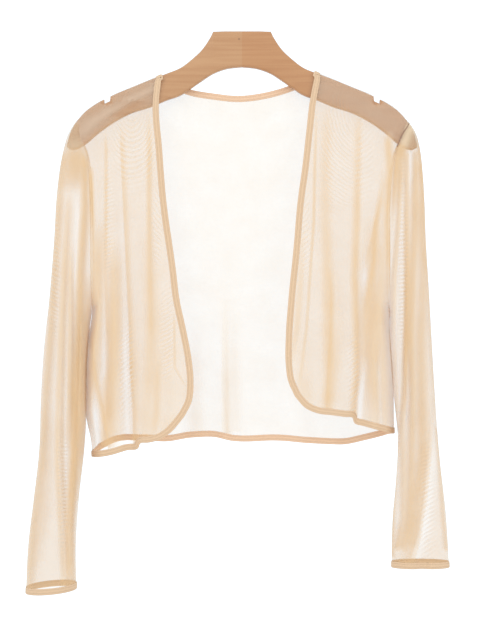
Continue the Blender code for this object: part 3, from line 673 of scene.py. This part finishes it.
STREAKS_FRONT_RIGHT = (
    (30.0, 30.0, (
        (88.0, -60.0, 0.0), (100.0, -70.0, 0.16), (140.0, -90.0, 0.2), (176.0, -112.0, 0.2),
        (198.0, -140.0, 0.0),
    )),
    (1.0, 6.0, ((178.0, -170.0, 0.0), (170.0, -215.0, 0.7), (158.0, -265.0, 0.8), (150.0, -300.0, 0.0))),
    (1.0, 3.5, (
        (107.0, -300.0, 0.0), (109.0, -330.0, 0.9), (108.0, -380.0, 0.9), (104.0, -440.0, 0.7),
        (103.0, -470.0, 0.5),
    )),
    (1.6, 1.6, (
        (92.2, -95.9, 0.0), (91.0, -139.0, 0.9), (89.8, -178.4, 1.2), (88.5, -239.9, 1.2),
        (83.6, -307.5, 1.0), (79.3, -370.2, 1.0), (72.5, -424.4, 0.5), (68.8, -446.5, 0.0),
    )),
    (6.5, 6.5, (
        (105.7, -89.8, 0.0), (104.5, -135.3, 0.6), (102.7, -178.4, 0.6), (103.3, -239.9, 0.8),
        (105.7, -307.5, 1.0), (105.7, -370.2, 1.1), (108.2, -424.4, 1.0), (105.7, -458.8, 1.4),
        (104.5, -473.6, 1.0),
    )),
    (5.0, 3.5, (
        (145.1, -102.1, 0.0), (143.9, -135.3, 0.7), (142.6, -178.4, 0.9), (141.4, -239.9, 1.5),
        (138.9, -307.5, 1.7), (141.4, -370.2, 1.3), (142.0, -424.4, 1.3), (138.9, -458.8, 1.5),
        (137.7, -488.3, 1.2),
    )),
    (14.0, 18.0, (
        (164.8, -231.2, 0.0), (163.6, -274.3, 0.8), (162.3, -323.5, 1.3), (159.9, -370.2, 1.9),
        (162.3, -424.4, 1.5), (167.2, -458.8, 1.0), (169.7, -493.2, 0.6),
    )),
    (4.0, 5.0, ((152.5, -274.3, 0.0), (151.2, -307.5, -0.9), (150.0, -335.8, 0.0))),
    (2.5, 3.0, ((168.5, -289.1, 0.0), (167.2, -307.5, -0.5), (164.8, -335.8, 0.0))),
    (3.0, 3.0, (
        (174.6, -151.3, 0.0), (172.2, -188.2, 0.3), (164.8, -239.9, 1.2), (162.3, -289.1, 1.2),
        (154.9, -335.8, 0.5), (150.0, -360.4, 0.0),
    )),
    (4.0, 5.0, (
        (182.0, -126.0, 0.0), (179.5, -142.3, 1.6), (182.0, -178.4, 1.7), (178.3, -239.9, 1.4),
        (182.0, -289.1, 1.2), (187.4, -335.8, 0.2), (185.7, -397.3, 0.2), (187.2, -458.8, 0.4),
        (188.4, -495.7, 0.6),
    )),
    (3.0, 3.0, (
        (170.9, -385.0, 0.0), (168.5, -424.4, -0.9), (169.7, -458.8, -0.7), (170.9, -489.5, -0.5),
    )),
    (4.5, 3.0, (
        (156.2, -397.3, 0.0), (151.2, -424.4, -0.6), (146.3, -458.8, -0.8), (145.1, -485.9, -0.5),
    )),
    (4.0, 4.0, ((75.0, -231.2, 0.0), (72.5, -307.5, 0.6), (67.6, -370.2, 0.7), (60.2, -409.6, 0.3))),
    (12.0, 10.0, (
        (116.8, -274.3, 0.0), (116.8, -370.2, 0.3), (111.9, -424.4, 0.5), (111.9, -464.9, 0.0),
    )),
    (9.0, 9.0, ((71.3, -372.7, 0.0), (75.0, -424.4, 0.3), (77.5, -452.6, 0.5), (78.7, -464.9, 0.2))),
)
FRONT_BELLY = 3.0
EDGE_LEFT = (
    (-100.5, -15.0, -60.5), (-103.6, -17.0, -92.6), (-99.6, -19.0, -148.7), (-94.4, -21.0, -212.0),
    (-82.6, -26.0, -295.8), (-77.5, -30.0, -335.8), (-69.4, -33.0, -372.7), (-62.3, -36.0, -410.7),
    (-60.1, -38.0, -435.9), (-62.5, -40.0, -460.7), (-70.5, -40.0, -477.0),
)
EDGE_RIGHT = (
    (91.0, -14.0, -56.6), (85.5, -16.0, -84.4), (80.4, -18.0, -125.9), (75.3, -20.0, -171.0),
    (69.6, -22.0, -212.1), (64.1, -25.0, -274.1), (57.7, -30.0, -335.8), (54.4, -33.0, -382.5),
    (54.2, -36.0, -413.1), (57.0, -38.0, -434.4), (65.5, -39.0, -454.0),
)
FRONT_HEM_LEFT = (
    (-70.5, -40.0, -477.0), (-77.1, -40.0, -485.7), (-88.4, -40.0, -498.2), (-101.0, -38.0, -506.4),
    (-115.0, -36.5, -510.2), (-125.4, -35.4, -511.7), (-127.6, -35.2, -517.0), (-143.0, -32.0, -520.6),
    (-159.3, -28.0, -525.4), (-187.0, -5.0, -530.4),
)
FRONT_HEM_RIGHT = (
    (65.5, -39.0, -454.0), (78.6, -40.0, -468.0), (92.7, -40.0, -474.1), (110.0, -38.0, -476.3),
    (126.0, -36.0, -478.6), (136.2, -34.6, -480.2), (138.6, -34.2, -486.6), (150.0, -31.4, -490.3),
    (161.8, -28.0, -493.4), (190.0, -3.0, -501.5),
)
FOLDS_FRONT_LEFT = (
    (-150.0, -137.0, -150.0, -560.0, 7.0, 9.0), (-117.0, -114.0, -150.0, -440.0, -4.0, 9.0),
    (-172.0, -168.0, -190.0, -500.0, 4.5, 8.0),
)
FOLDS_FRONT_RIGHT = (
    (168.0, 140.0, -190.0, -530.0, 7.0, 10.0), (150.0, 104.0, -170.0, -560.0, -2.5, 16.0),
    (93.0, 88.0, -110.0, -300.0, 3.0, 8.0), (158.0, 166.0, -360.0, -530.0, -4.0, 8.0),
)
# A patch of ripples: its middle across and down, its half width and height, its strength, then the middle of
# its rings and how close they lie across and down.
RIPPLES_FRONT_LEFT = (
    (-132.0, -150.0, 28.0, 46.0, 0.26, -137.0, -92.0, 1.5, 0.75),
    (-142.0, -430.0, 9.0, 72.0, 0.26, 20.0, -660.0, 1.0, 1.0),
    (-92.0, -370.0, 9.0, 62.0, 0.2, -230.0, -100.0, 1.0, 1.0),
    (-164.0, -230.0, 7.0, 66.0, 0.22, -220.0, -60.0, 1.0, 1.0),
    (-104.0, -235.0, 6.0, 62.0, 0.22, 40.0, -120.0, 1.0, 1.0),
)
RIPPLES_FRONT_RIGHT = (
    (119.0, -158.0, 19.0, 66.0, 0.26, 170.0, -96.0, 1.15, 1.0),
    (136.0, -430.0, 8.0, 56.0, 0.18, 260.0, -620.0, 1.0, 1.0),
    (150.0, -165.0, 14.0, 50.0, 0.16, 120.0, -80.0, 1.0, 0.8),
    (79.0, -250.0, 6.0, 60.0, 0.2, -60.0, -120.0, 1.0, 1.0),
)


def front_rows(shoulder, edge, hem, armhole, side_seam, folds):
    """Rows of points of a front, from the shoulder seam to the hem, each from the edge to the side."""
    across = clustered(FRONT_COLUMNS)
    line, edge_line, hem_line = route(shoulder), route(edge), route(hem)
    caps = [shoulder_row(line, across, -spread, drop) for spread, drop in wrap_steps()]
    outer = outer_line(armhole, shoulder, side_seam, -1)
    outer[0] = caps[-1][-1]
    down = [i / PANEL_ROWS for i in range(PANEL_ROWS + 1)]
    inner = [edge_line(t) for t in down]
    inner[0] = caps[-1][0]
    grid = coons(caps[-1], [hem_line(s) for s in across], inner, outer, across, down)
    for j in range(1, len(grid)):
        for i, s in enumerate(across):
            x, _, z = grid[j][i]
            face = hanging(1, z)
            free = (1 - s) * inner[j][1] + s * face - FRONT_BELLY * math.sin(math.pi * s)
            from_side = (1 - s) * abs(outer[j][0] - inner[j][0])
            grid[j][i][1] = panel_depth(x, z, -1, free, face, outer[j][1], from_side, folds)
    return [np.array(row) for row in caps[:-1]] + list(grid)


LEFT_FRONT = (SHOULDER_LEFT, EDGE_LEFT, FRONT_HEM_LEFT, ARMHOLE_LEFT, SIDE_LEFT, FOLDS_FRONT_LEFT)
RIGHT_FRONT = (SHOULDER_RIGHT, EDGE_RIGHT, FRONT_HEM_RIGHT, ARMHOLE_RIGHT, SIDE_RIGHT, FOLDS_FRONT_RIGHT)
front_grids = {}
for side, lines, streaks, ripples in (
    ("left", LEFT_FRONT, STREAKS_FRONT_LEFT, RIPPLES_FRONT_LEFT),
    ("right", RIGHT_FRONT, STREAKS_FRONT_RIGHT, RIPPLES_FRONT_RIGHT),
):
    rows = front_rows(*lines)
    raise_folds(rows, streaks)
    front_grids[side] = rows
    front_panel = sewn(f"{side}_front", mesh_cloth, [(rows, *FRONT_CUT)])
    measure_density(front_panel, FRONT_LAYERS[side], streaks + NOTCH_GAPS, FRONT_SHARE, ripples)
    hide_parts(f"front_{side}")
    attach(front_panel, "root")


# Each long sleeve is a tube of the same mesh with one seam under the arm. It is set into the armhole and
# hangs flat beside the body, slightly fuller at the back.
SLEEVE_RINGS = 150
SLEEVE_HALF_COLUMNS = 56
SLEEVE_LAYERS = 0.92
SLEEVE_SHARE = 0.84
SLEEVE_CUT = (210.0, 560.0)
CUFF_DEPTH = {"left": 31.0, "right": 18.0}
SLEEVE_HEAD_COLOUR = (0.715, 0.52, 0.335)
STREAKS_SLEEVE_LEFT = (
    (3.5, 5.0, (
        (-221.4, -157.4, 0.6), (-226.4, -218.9, 1.0), (-231.3, -298.9, 1.2), (-236.2, -372.7, 1.2),
        (-242.3, -455.1, 1.1), (-247.3, -528.9, 1.1), (-258.3, -615.0, 1.2), (-262.0, -661.8, 1.2),
        (-263.3, -692.5, 1.0),
    )),
    (7.0, 7.0, (
        (-238.7, -458.8, 0.0), (-241.1, -528.9, 0.5), (-248.5, -615.0, 0.5), (-253.4, -661.8, 0.3),
    )),
    (3.0, 3.0, (
        (-212.8, -200.5, 0.0), (-214.1, -221.4, 0.6), (-218.4, -298.9, 1.5), (-221.4, -372.7, 1.7),
        (-223.9, -455.1, 1.6), (-225.1, -528.9, 1.7), (-221.4, -615.0, 1.4), (-219.0, -661.8, 1.5),
        (-217.8, -690.0, 1.0),
    )),
    (2.0, 2.0, (
        (-209.1, -262.0, 0.0), (-210.4, -298.9, 1.2), (-210.4, -372.7, 1.9), (-211.6, -455.1, 2.3),
        (-212.8, -495.7, 1.2), (-212.8, -520.3, 0.0),
    )),
    (3.5, 4.0, (
        (-194.4, -163.6, 1.2), (-194.4, -221.4, 1.9), (-199.3, -298.9, 1.8), (-201.8, -372.7, 2.6),
        (-206.7, -455.1, 2.8), (-207.9, -528.9, 3.2), (-212.8, -615.0, 2.4), (-211.6, -661.8, 1.6),
        (-210.4, -690.0, 1.0),
    )),
    (6.0, 6.0, (
        (-189.5, -298.9, 0.0), (-189.5, -335.8, 1.0), (-193.2, -385.0, 2.2), (-198.1, -455.1, 2.4),
        (-198.1, -495.7, 1.7), (-199.3, -528.9, 1.2), (-201.8, -581.8, 0.4),
    )),
    (1.5, 1.5, (
        (-203.0, -188.0, 0.0), (-204.0, -230.0, -0.5), (-206.5, -300.0, -0.5), (-208.5, -345.0, 0.0),
    )),
    (1.2, 1.2, (
        (-187.0, -176.0, 0.0), (-186.5, -196.0, 2.6), (-187.0, -222.0, 1.6), (-189.0, -262.0, 0.0),
    )),
    (14.0, 14.0, (
        (-206.0, -134.0, 0.0), (-205.0, -150.0, 1.2), (-204.2, -163.6, 1.9), (-206.7, -182.0, 1.3),
        (-211.6, -203.0, 0.0),
    )),
)
STREAKS_SLEEVE_RIGHT = (
    (6.0, 5.5, (
        (209.0, -114.0, 2.4), (205.0, -128.0, 3.0), (200.0, -140.0, 3.2), (197.5, -150.0, 2.4),
        (195.0, -166.0, 1.4), (192.0, -200.0, 0.6), (190.0, -225.0, 0.0),
    )),
    (1.2, 9.0, (
        (237.5, -478.0, 0.0), (233.3, -529.6, -0.3), (228.0, -582.7, -0.42), (221.0, -626.8, -0.42),
        (213.0, -657.0, -0.35),
    )),
    (14.0, 1.2, (
        (236.5, -470.0, 0.0), (231.0, -529.6, 0.5), (225.6, -582.7, 0.7), (218.5, -626.8, 0.8),
        (210.6, -657.0, 0.7),
    )),
    (3.0, 3.0, (
        (215.0, -128.0, 1.2), (220.5, -158.0, 1.3), (223.5, -200.0, 1.0), (226.0, -260.0, 0.5),
        (229.0, -320.0, 0.0),
    )),
    (2.5, 2.5, ((191.5, -148.0, 1.2), (190.0, -175.0, 1.6), (187.5, -215.0, 0.8), (186.5, -250.0, 0.0))),
    (1.8, 1.8, ((208.5, -156.0, -0.5), (208.5, -180.0, -0.6), (207.5, -215.0, 0.0))),
    (1.5, 1.5, ((217.5, -158.0, -0.25), (218.5, -185.0, -0.45), (219.5, -220.0, 0.0))),
    (1.8, 1.8, (
        (196.8, -163.6, 0.0), (195.5, -184.5, 1.3), (193.1, -239.9, 1.3), (187.9, -307.5, 1.1),
        (186.5, -381.3, 0.7), (190.5, -455.1, 0.8), (191.8, -495.7, 1.0),
    )),
    (2.2, 2.5, (
        (202.9, -158.0, 0.9), (202.9, -184.5, 1.3), (202.9, -239.9, 1.7), (203.5, -307.5, 2.6),
        (202.3, -381.3, 2.7), (200.4, -455.1, 1.8), (196.8, -495.7, 1.0), (194.3, -528.9, 0.0),
    )),
    (4.0, 4.0, (
        (214.0, -156.0, 0.9), (213.4, -184.5, 1.2), (212.8, -239.9, 1.3), (210.3, -307.5, 1.6),
        (207.8, -381.3, 1.8), (210.3, -455.1, 1.5), (209.1, -528.9, 1.3), (206.6, -602.7, 1.0),
        (199.2, -640.8, 1.1),
    )),
    (6.0, 7.0, (
        (220.1, -169.7, 0.6), (221.4, -239.9, 1.0), (223.8, -307.5, 0.9), (220.1, -381.3, 1.1),
        (221.4, -455.1, 1.3), (222.6, -528.9, 1.0), (214.0, -581.8, 0.7), (207.8, -637.1, 0.7),
    )),
    (3.0, 4.0, (
        (217.7, -249.7, 0.0), (231.2, -307.5, 0.6), (233.7, -381.3, 0.6), (238.6, -455.1, 0.5),
        (239.8, -495.7, 0.0),
    )),
    (3.0, 3.0, ((199.2, -483.4, 0.0), (199.2, -528.9, 0.9), (199.2, -602.7, 0.9), (191.8, -640.8, 1.2))),
    (2.0, 2.5, ((193.1, -514.1, 0.8), (190.6, -538.8, 0.8), (186.3, -602.7, 1.2), (185.7, -650.7, 1.2))),
    (6.0, 6.0, ((213.0, -112.0, 1.0), (214.0, -124.0, 0.8), (215.0, -132.0, 0.0))),
    (2.5, 2.5, ((241.0, -495.7, 0.8), (248.4, -602.7, 0.8), (252.1, -640.8, 0.9))),
)
SLEEVE_OUTER_LEFT = (
    (-206.0, -21.0, -116.3), (-214.5, -22.5, -130.5), (-219.3, -23.0, -146.5), (-223.0, -23.0, -163.0),
    (-228.2, -23.0, -201.3), (-232.2, -23.0, -264.2), (-238.1, -23.0, -335.7), (-244.9, -22.0, -397.4),
    (-248.6, -22.0, -459.1), (-250.6, -21.0, -520.8), (-257.5, -21.0, -582.4), (-264.4, -20.0, -640.4),
    (-267.0, -20.0, -697.0),
)
SLEEVE_OUTER_RIGHT = (
    (206.0, -21.0, -116.1), (214.5, -22.5, -130.0), (219.3, -23.0, -147.7), (223.0, -23.0, -178.0),
    (225.2, -23.0, -212.4), (226.9, -23.0, -259.2), (230.6, -23.0, -320.9), (234.1, -22.0, -381.1),
    (238.0, -22.0, -448.0), (244.6, -21.0, -533.8), (252.1, -21.0, -600.9), (256.2, -20.0, -665.5),
)
SLEEVE_INNER_LEFT = (
    (-187.4, -6.0, -347.0), (-191.0, -10.0, -380.0), (-193.4, -14.0, -425.0), (-193.6, -17.0, -470.0),
    (-194.0, -18.0, -500.0), (-195.6, -19.0, -522.0), (-202.0, -20.0, -582.4), (-205.6, -20.0, -640.4),
    (-204.8, -20.0, -692.0),
)
SLEEVE_INNER_RIGHT = (
    (185.2, -6.0, -347.0), (184.6, -10.0, -385.0), (187.6, -14.0, -440.0), (191.0, -16.0, -478.0),
    (193.2, -17.0, -502.0), (190.4, -18.0, -563.7), (186.2, -20.0, -608.3), (185.0, -20.0, -665.5),
)
# A sleeve's fold: its place across at its top and its foot, where it starts and ends, its depth, its half
# width, and the half of the sleeve that it is on.
FOLDS_SLEEVE_LEFT = (
    (0.62, 0.80, 0.10, 0.98, 6.0, 0.10, -1), (0.40, 0.42, 0.20, 0.80, -3.0, 0.12, -1),
    (0.45, 0.60, 0.10, 0.98, 6.0, 0.11, 1),
)
FOLDS_SLEEVE_RIGHT = (
    (0.50, 0.62, 0.08, 0.60, 6.0, 0.10, -1), (0.35, 0.50, 0.50, 1.05, 5.0, 0.11, -1),
    (0.60, 0.45, 0.10, 0.98, 6.0, 0.11, 1),
)
SLEEVE_RIPPLES = {
    "left": (
        (-231.0, -300.0, 6.0, 90.0, 0.12, -60.0, 0.0, 1.0, 1.0),
        (-219.0, -560.0, 6.0, 90.0, 0.12, -160.0, 0.0, 1.0, 1.0),
    ),
    "right": (
        (198.5, -280.0, 5.0, 110.0, 0.16, 160.0, 100.0, 1.0, 1.0),
        (229.0, -590.0, 9.0, 70.0, 0.16, 320.0, -760.0, 1.0, 1.0),
    ),
}


def sleeve_half(side, armhole, shoulder, outer_edge, inner_edge, folds, cuff_depth):
    """The front (side -1) or back (side 1) half of a sleeve, in rows from the outer to the inner edge."""
    outer, inner = route(outer_edge), route(inner_edge)
    drawn = armhole_line(armhole, shoulder, side)
    last = len(drawn) - 1
    stand_off = inner_edge[0][0] - armhole[-1][0]
    drawn = [point + np.array([stand_off * (i / last) ** 4, 0.0, 0.0]) for i, point in enumerate(drawn)]
    top_line = route(drawn, even=True)
    shares = [i / SLEEVE_HALF_COLUMNS for i in range(SLEEVE_HALF_COLUMNS + 1)]
    across = [(1 - math.cos(math.pi * share)) / 2 for share in shares]
    start, end = outer(1.0), inner(1.0)
    cuff = []
    for share, place in zip(shares, across):
        out = np.array([0.0, side * cuff_depth * math.sin(math.pi * share), 0.0])
        cuff.append(start + (end - start) * place + out)
    down = [i / SLEEVE_RINGS for i in range(SLEEVE_RINGS + 1)]
    top = [top_line(share) for share in shares]
    grid = coons(top, cuff, [outer(v) for v in down], [inner(v) for v in down], across, down)
    for at_top, at_foot, begin, finish, depth, half_width, face in folds:
        if face != side:
            continue
        for j, v in enumerate(down):
            along = (v - begin) / (finish - begin)
            if 0 <= along <= 1:
                middle = at_top + (at_foot - at_top) * along
                swell = soft_step(along / FOLD_SWELLS) * soft_step((1 - along) / FOLD_FADES)
                for i, s in enumerate(across):
                    grid[j][i][1] -= side * depth * swell * math.exp(-(((s - middle) / half_width) ** 2))
    return grid


sleeve_cloth = sheer_mesh("sheer_mesh_sleeve", CLOTH_COLOUR, SLEEVE_HEAD_COLOUR)
LEFT_SLEEVE = (ARMHOLE_LEFT, SHOULDER_LEFT, SLEEVE_OUTER_LEFT, SLEEVE_INNER_LEFT, FOLDS_SLEEVE_LEFT)
RIGHT_SLEEVE = (ARMHOLE_RIGHT, SHOULDER_RIGHT, SLEEVE_OUTER_RIGHT, SLEEVE_INNER_RIGHT, FOLDS_SLEEVE_RIGHT)
sleeve_rings = {}
for side, lines, streaks in (
    ("left", LEFT_SLEEVE, STREAKS_SLEEVE_LEFT),
    ("right", RIGHT_SLEEVE, STREAKS_SLEEVE_RIGHT),
):
    ahead, behind = (sleeve_half(face, *lines, CUFF_DEPTH[side]) for face in (-1, 1))
    rings = [list(a) + list(b[-2::-1]) for a, b in zip(ahead, behind)]
    sleeve_rings[side] = rings
    sleeve = sewn(f"{side}_sleeve", sleeve_cloth, [(rings, *SLEEVE_CUT)], WELD)
    measure_density(sleeve, SLEEVE_LAYERS, streaks, SLEEVE_SHARE, SLEEVE_RIPPLES[side])
    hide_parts(f"sleeve_front_{side}", f"sleeve_back_{side}")
    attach(sleeve, "root")


# The right armhole's seam joins the sleeve to the front. Over the board it is a thin strip coloured as
# painted dark brown shade, standing in for the shade in the groove where its turned edges lie close together.
SEAM_LINE = ((205.4, -118.2), (203.6, -122.0), (198.2, -130.6), (193.0, -141.0), (190.4, -147.5))
SEAM_WIDTH = 1.2
SEAM_PROUD = 2.0
SEAM_STEPS = 24
SEAM_LENGTH = 34.0
seam_rows = []
seam = route(SEAM_LINE)
for i in range(SEAM_STEPS + 1):
    x, z = seam(i / SEAM_STEPS)
    y = arm_depth(x) - WRAP - SEAM_PROUD
    seam_rows.append([np.array([x - SEAM_WIDTH / 2, y, z]), np.array([x + SEAM_WIDTH / 2, y, z])])
# Painted shade: the strip's dark brown is the shade in the seam's groove between its turned edges.
seam_groove_shade, _, _ = new_material("seam_groove_shade", (0.24, 0.13, 0.085), 0.8)
armhole_seam = sewn("right_armhole_seam", seam_groove_shade, [(seam_rows, SEAM_WIDTH, SEAM_LENGTH)])
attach(armhole_seam, "root")


# Narrow bindings of the same mesh, folded in four and stitched twice, finish the front edges, the neck,
# the hems and the cuffs.
BINDING_FOLD = (
    (7.2, 0.15), (6.7, 0.7), (3.6, 0.85), (0.4, 0.75), (-0.4, 0.45), (-0.7, 0.0), (-0.4, -0.45),
    (0.4, -0.75), (3.6, -0.85), (6.7, -0.7), (7.2, -0.15),
)
BINDING_CUT = 18.0
LAID_FROM = 0.2
INSIDE = 3
NECK_INSIDE = 4
STITCH_LINES = (0.145, 0.255, 0.745, 0.855)
STITCH_HALF = 0.022
STITCH_TONE = 0.82
BINDING_WELD = 0.00002


def binding_rows(lines, cloth, ring=False):
    """Rows of a strip folded round a cloth's edge, from its outer face round the edge to its inner face."""
    count = len(lines)
    strip = [[] for _ in BINDING_FOLD]
    for k, (edge, inside) in enumerate(lines):
        before = lines[(k - 1) % count if ring else max(k - 1, 0)][0]
        after = lines[(k + 1) % count if ring else min(k + 1, count - 1)][0]
        along = after - before
        face = np.cross(along, inside - edge)
        face /= np.linalg.norm(face)
        inward = np.cross(face, along)
        inward *= np.sign(np.dot(inward, inside - edge)) / np.linalg.norm(inward)
        for row, (distance, lift) in zip(strip, BINDING_FOLD):
            place, normal = edge + inward * distance, face
            if distance > LAID_FROM:
                found, facet, _, _ = cloth.find_nearest(tuple(place))
                place, normal = np.array(found), np.array(facet)
                normal *= np.sign(np.dot(normal, face))
            row.append(place + normal * lift)
    return strip


def cloth_tree(rows):
    """The cloth's surface, for laying a strip on it."""
    count = len(rows[0])
    points = [tuple(point) for row in rows for point in row]
    faces = []
    for j in range(len(rows) - 1):
        for i in range(count - 1):
            corner = j * count + i
            faces.append((corner, corner + 1, corner + count + 1, corner + count))
    return BVHTree.FromPolygons(points, faces)


def stitched_binding(name, colour):
    """Close folded mesh with two rows of small stitches along it."""
    material, tree, shader = new_material(name, colour, 0.8)
    place = add_node(tree, "UVMap", {}).outputs["UV"]
    slubs = add_node(tree, "TexNoise", {"Vector": place, "Scale": 900.0, "Detail": 2.0}).outputs["Fac"]
    darker = tuple(c * 0.9 for c in colour)
    lighter = tuple(min(1.0, c * 1.06) for c in colour)
    tones = ramp_between(tree, slubs, (0.3, darker), (0.7, lighter)).outputs["Color"]
    split = add_node(tree, "SeparateXYZ", {"Vector": place})
    share = worked_out(tree, "DIVIDE", split.outputs["Y"], BINDING_CUT * MM)
    rows = ramp_between(tree, share, (0.0, (1, 1, 1)), (1.0, (1, 1, 1)))
    for line in STITCH_LINES:
        for place_on, tone in ((line - STITCH_HALF, 1.0), (line, STITCH_TONE), (line + STITCH_HALF, 1.0)):
            rows.color_ramp.elements.new(place_on).color = (tone, tone * 0.98, tone * 0.95, 1)
    tree.links.new(multiplied(tree, tones, rows.outputs["Color"]), shader.inputs["Base Color"])
    return material


binding_cloth = stitched_binding("stitched_binding", (0.66, 0.44, 0.275))
hem_cloth = stitched_binding("stitched_hem_binding", (0.75, 0.48, 0.31))


def bind_edge(name, node, lines, rows, ring=False, material=binding_cloth):
    """Makes one binding from edge lines of (edge point, point further in)."""
    cloth = cloth_tree(rows)
    strip = binding_rows(lines, cloth, ring)
    if ring:
        strip = [row + [row[0]] for row in strip]
    length = sum(np.linalg.norm(b[0] - a[0]) for a, b in zip(lines, lines[1:]))
    made = sewn(name, material, [(strip, length, BINDING_CUT)], BINDING_WELD)
    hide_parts(node)
    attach(made, "root")


for side, rows in front_grids.items():
    down_edge = [(row[0], row[INSIDE]) for row in rows[:-1]]
    corner = [(rows[-1][0], rows[-1 - INSIDE][INSIDE])]
    along_hem = [(rows[-1][i], rows[-1 - INSIDE][i]) for i in range(1, len(rows[0]))]
    bind_edge(f"{side}_front_binding", f"front_binding_{side}", down_edge + corner + along_hem, rows)

over_left = [(row[0], row[NECK_INSIDE]) for row in back_caps[0]]
over_right = [(row[0], row[NECK_INSIDE]) for row in back_caps[1]]
first_neck = BACK_SIDE_COLUMNS + 1
last_neck = first_neck + BACK_NECK_COLUMNS - 1
along_neck = [(back_grid[0][i], back_grid[NECK_INSIDE][i]) for i in range(first_neck, last_neck)]
neck_lines = over_left + along_neck + over_right[::-1]
bind_edge("neck_binding", "back_neck_binding", neck_lines, back_grid, material=hem_cloth)
hem_lines = [(back_grid[-1][i], back_grid[-1 - INSIDE][i]) for i in range(len(back_grid[0]))]
bind_edge("hem_binding", "back_hem_binding", hem_lines, back_grid, material=hem_cloth)
for side, rings in sleeve_rings.items():
    lines = [(rings[-1][i], rings[-1 - INSIDE][i]) for i in range(len(rings[0]) - 1)]
    bind_edge(f"{side}_cuff_binding", f"cuff_binding_{side}", lines, rings, ring=True)


# A plain pale floor well below the cuffs, an even white studio all round, and two large soft lights.
FLOOR_DROP = -950.0
FLOOR_RADIUS = 850.0
shape = bmesh.new()
bmesh.ops.create_circle(shape, cap_ends=True, segments=96, radius=FLOOR_RADIUS * MM)
bmesh.ops.translate(shape, verts=shape.verts, vec=(0, 0, FLOOR_DROP * MM))
floor_paint, _, _ = new_material("pale_floor", (0.86, 0.86, 0.86), 0.9)
floor = placed("studio_floor", shape, floor_paint, smooth=False)

world = bpy.data.worlds.new("white_studio")
world.use_nodes = True
world.node_tree.nodes["Background"].inputs["Color"].default_value = (0.83, 0.926, 1.0, 1)
world.node_tree.nodes["Background"].inputs["Strength"].default_value = 1.36
bpy.context.scene.world = world
bpy.context.scene.view_settings.view_transform = "Standard"

for name, place, power, width in (
    ("key_light", (-1.2, -1.8, 0.9), 8.0, 1.2),
    ("fill_light", (1.4, -1.6, 0.3), 4.0, 1.2),
):
    lamp = bpy.data.lights.new(name, "AREA")
    lamp.energy = power
    lamp.size = width
    made = bpy.data.objects.new(name, lamp)
    aim = Vector((0, 0, -0.3)) - Vector(place)
    made.matrix_world = Matrix.Translation(place) @ aim.to_track_quat("-Z", "Y").to_matrix().to_4x4()
    bpy.context.scene.collection.objects.link(made)

# The camera stands level, 1.9 m in front of the hanger, at the photograph's angle.
CAMERA_AWAY = 1900.0
VIEW_HIGH = 800.0
view = bpy.data.cameras.new("camera")
view.sensor_fit = "VERTICAL"
view.sensor_height = 36.0
view.lens = view.sensor_height * CAMERA_AWAY / VIEW_HIGH
camera = bpy.data.objects.new("camera", view)
camera.location = (-0.0025, -CAMERA_AWAY * MM, -0.3604)
camera.rotation_euler = (math.pi / 2, 0, 0)
bpy.context.scene.collection.objects.link(camera)
bpy.context.scene.camera = camera
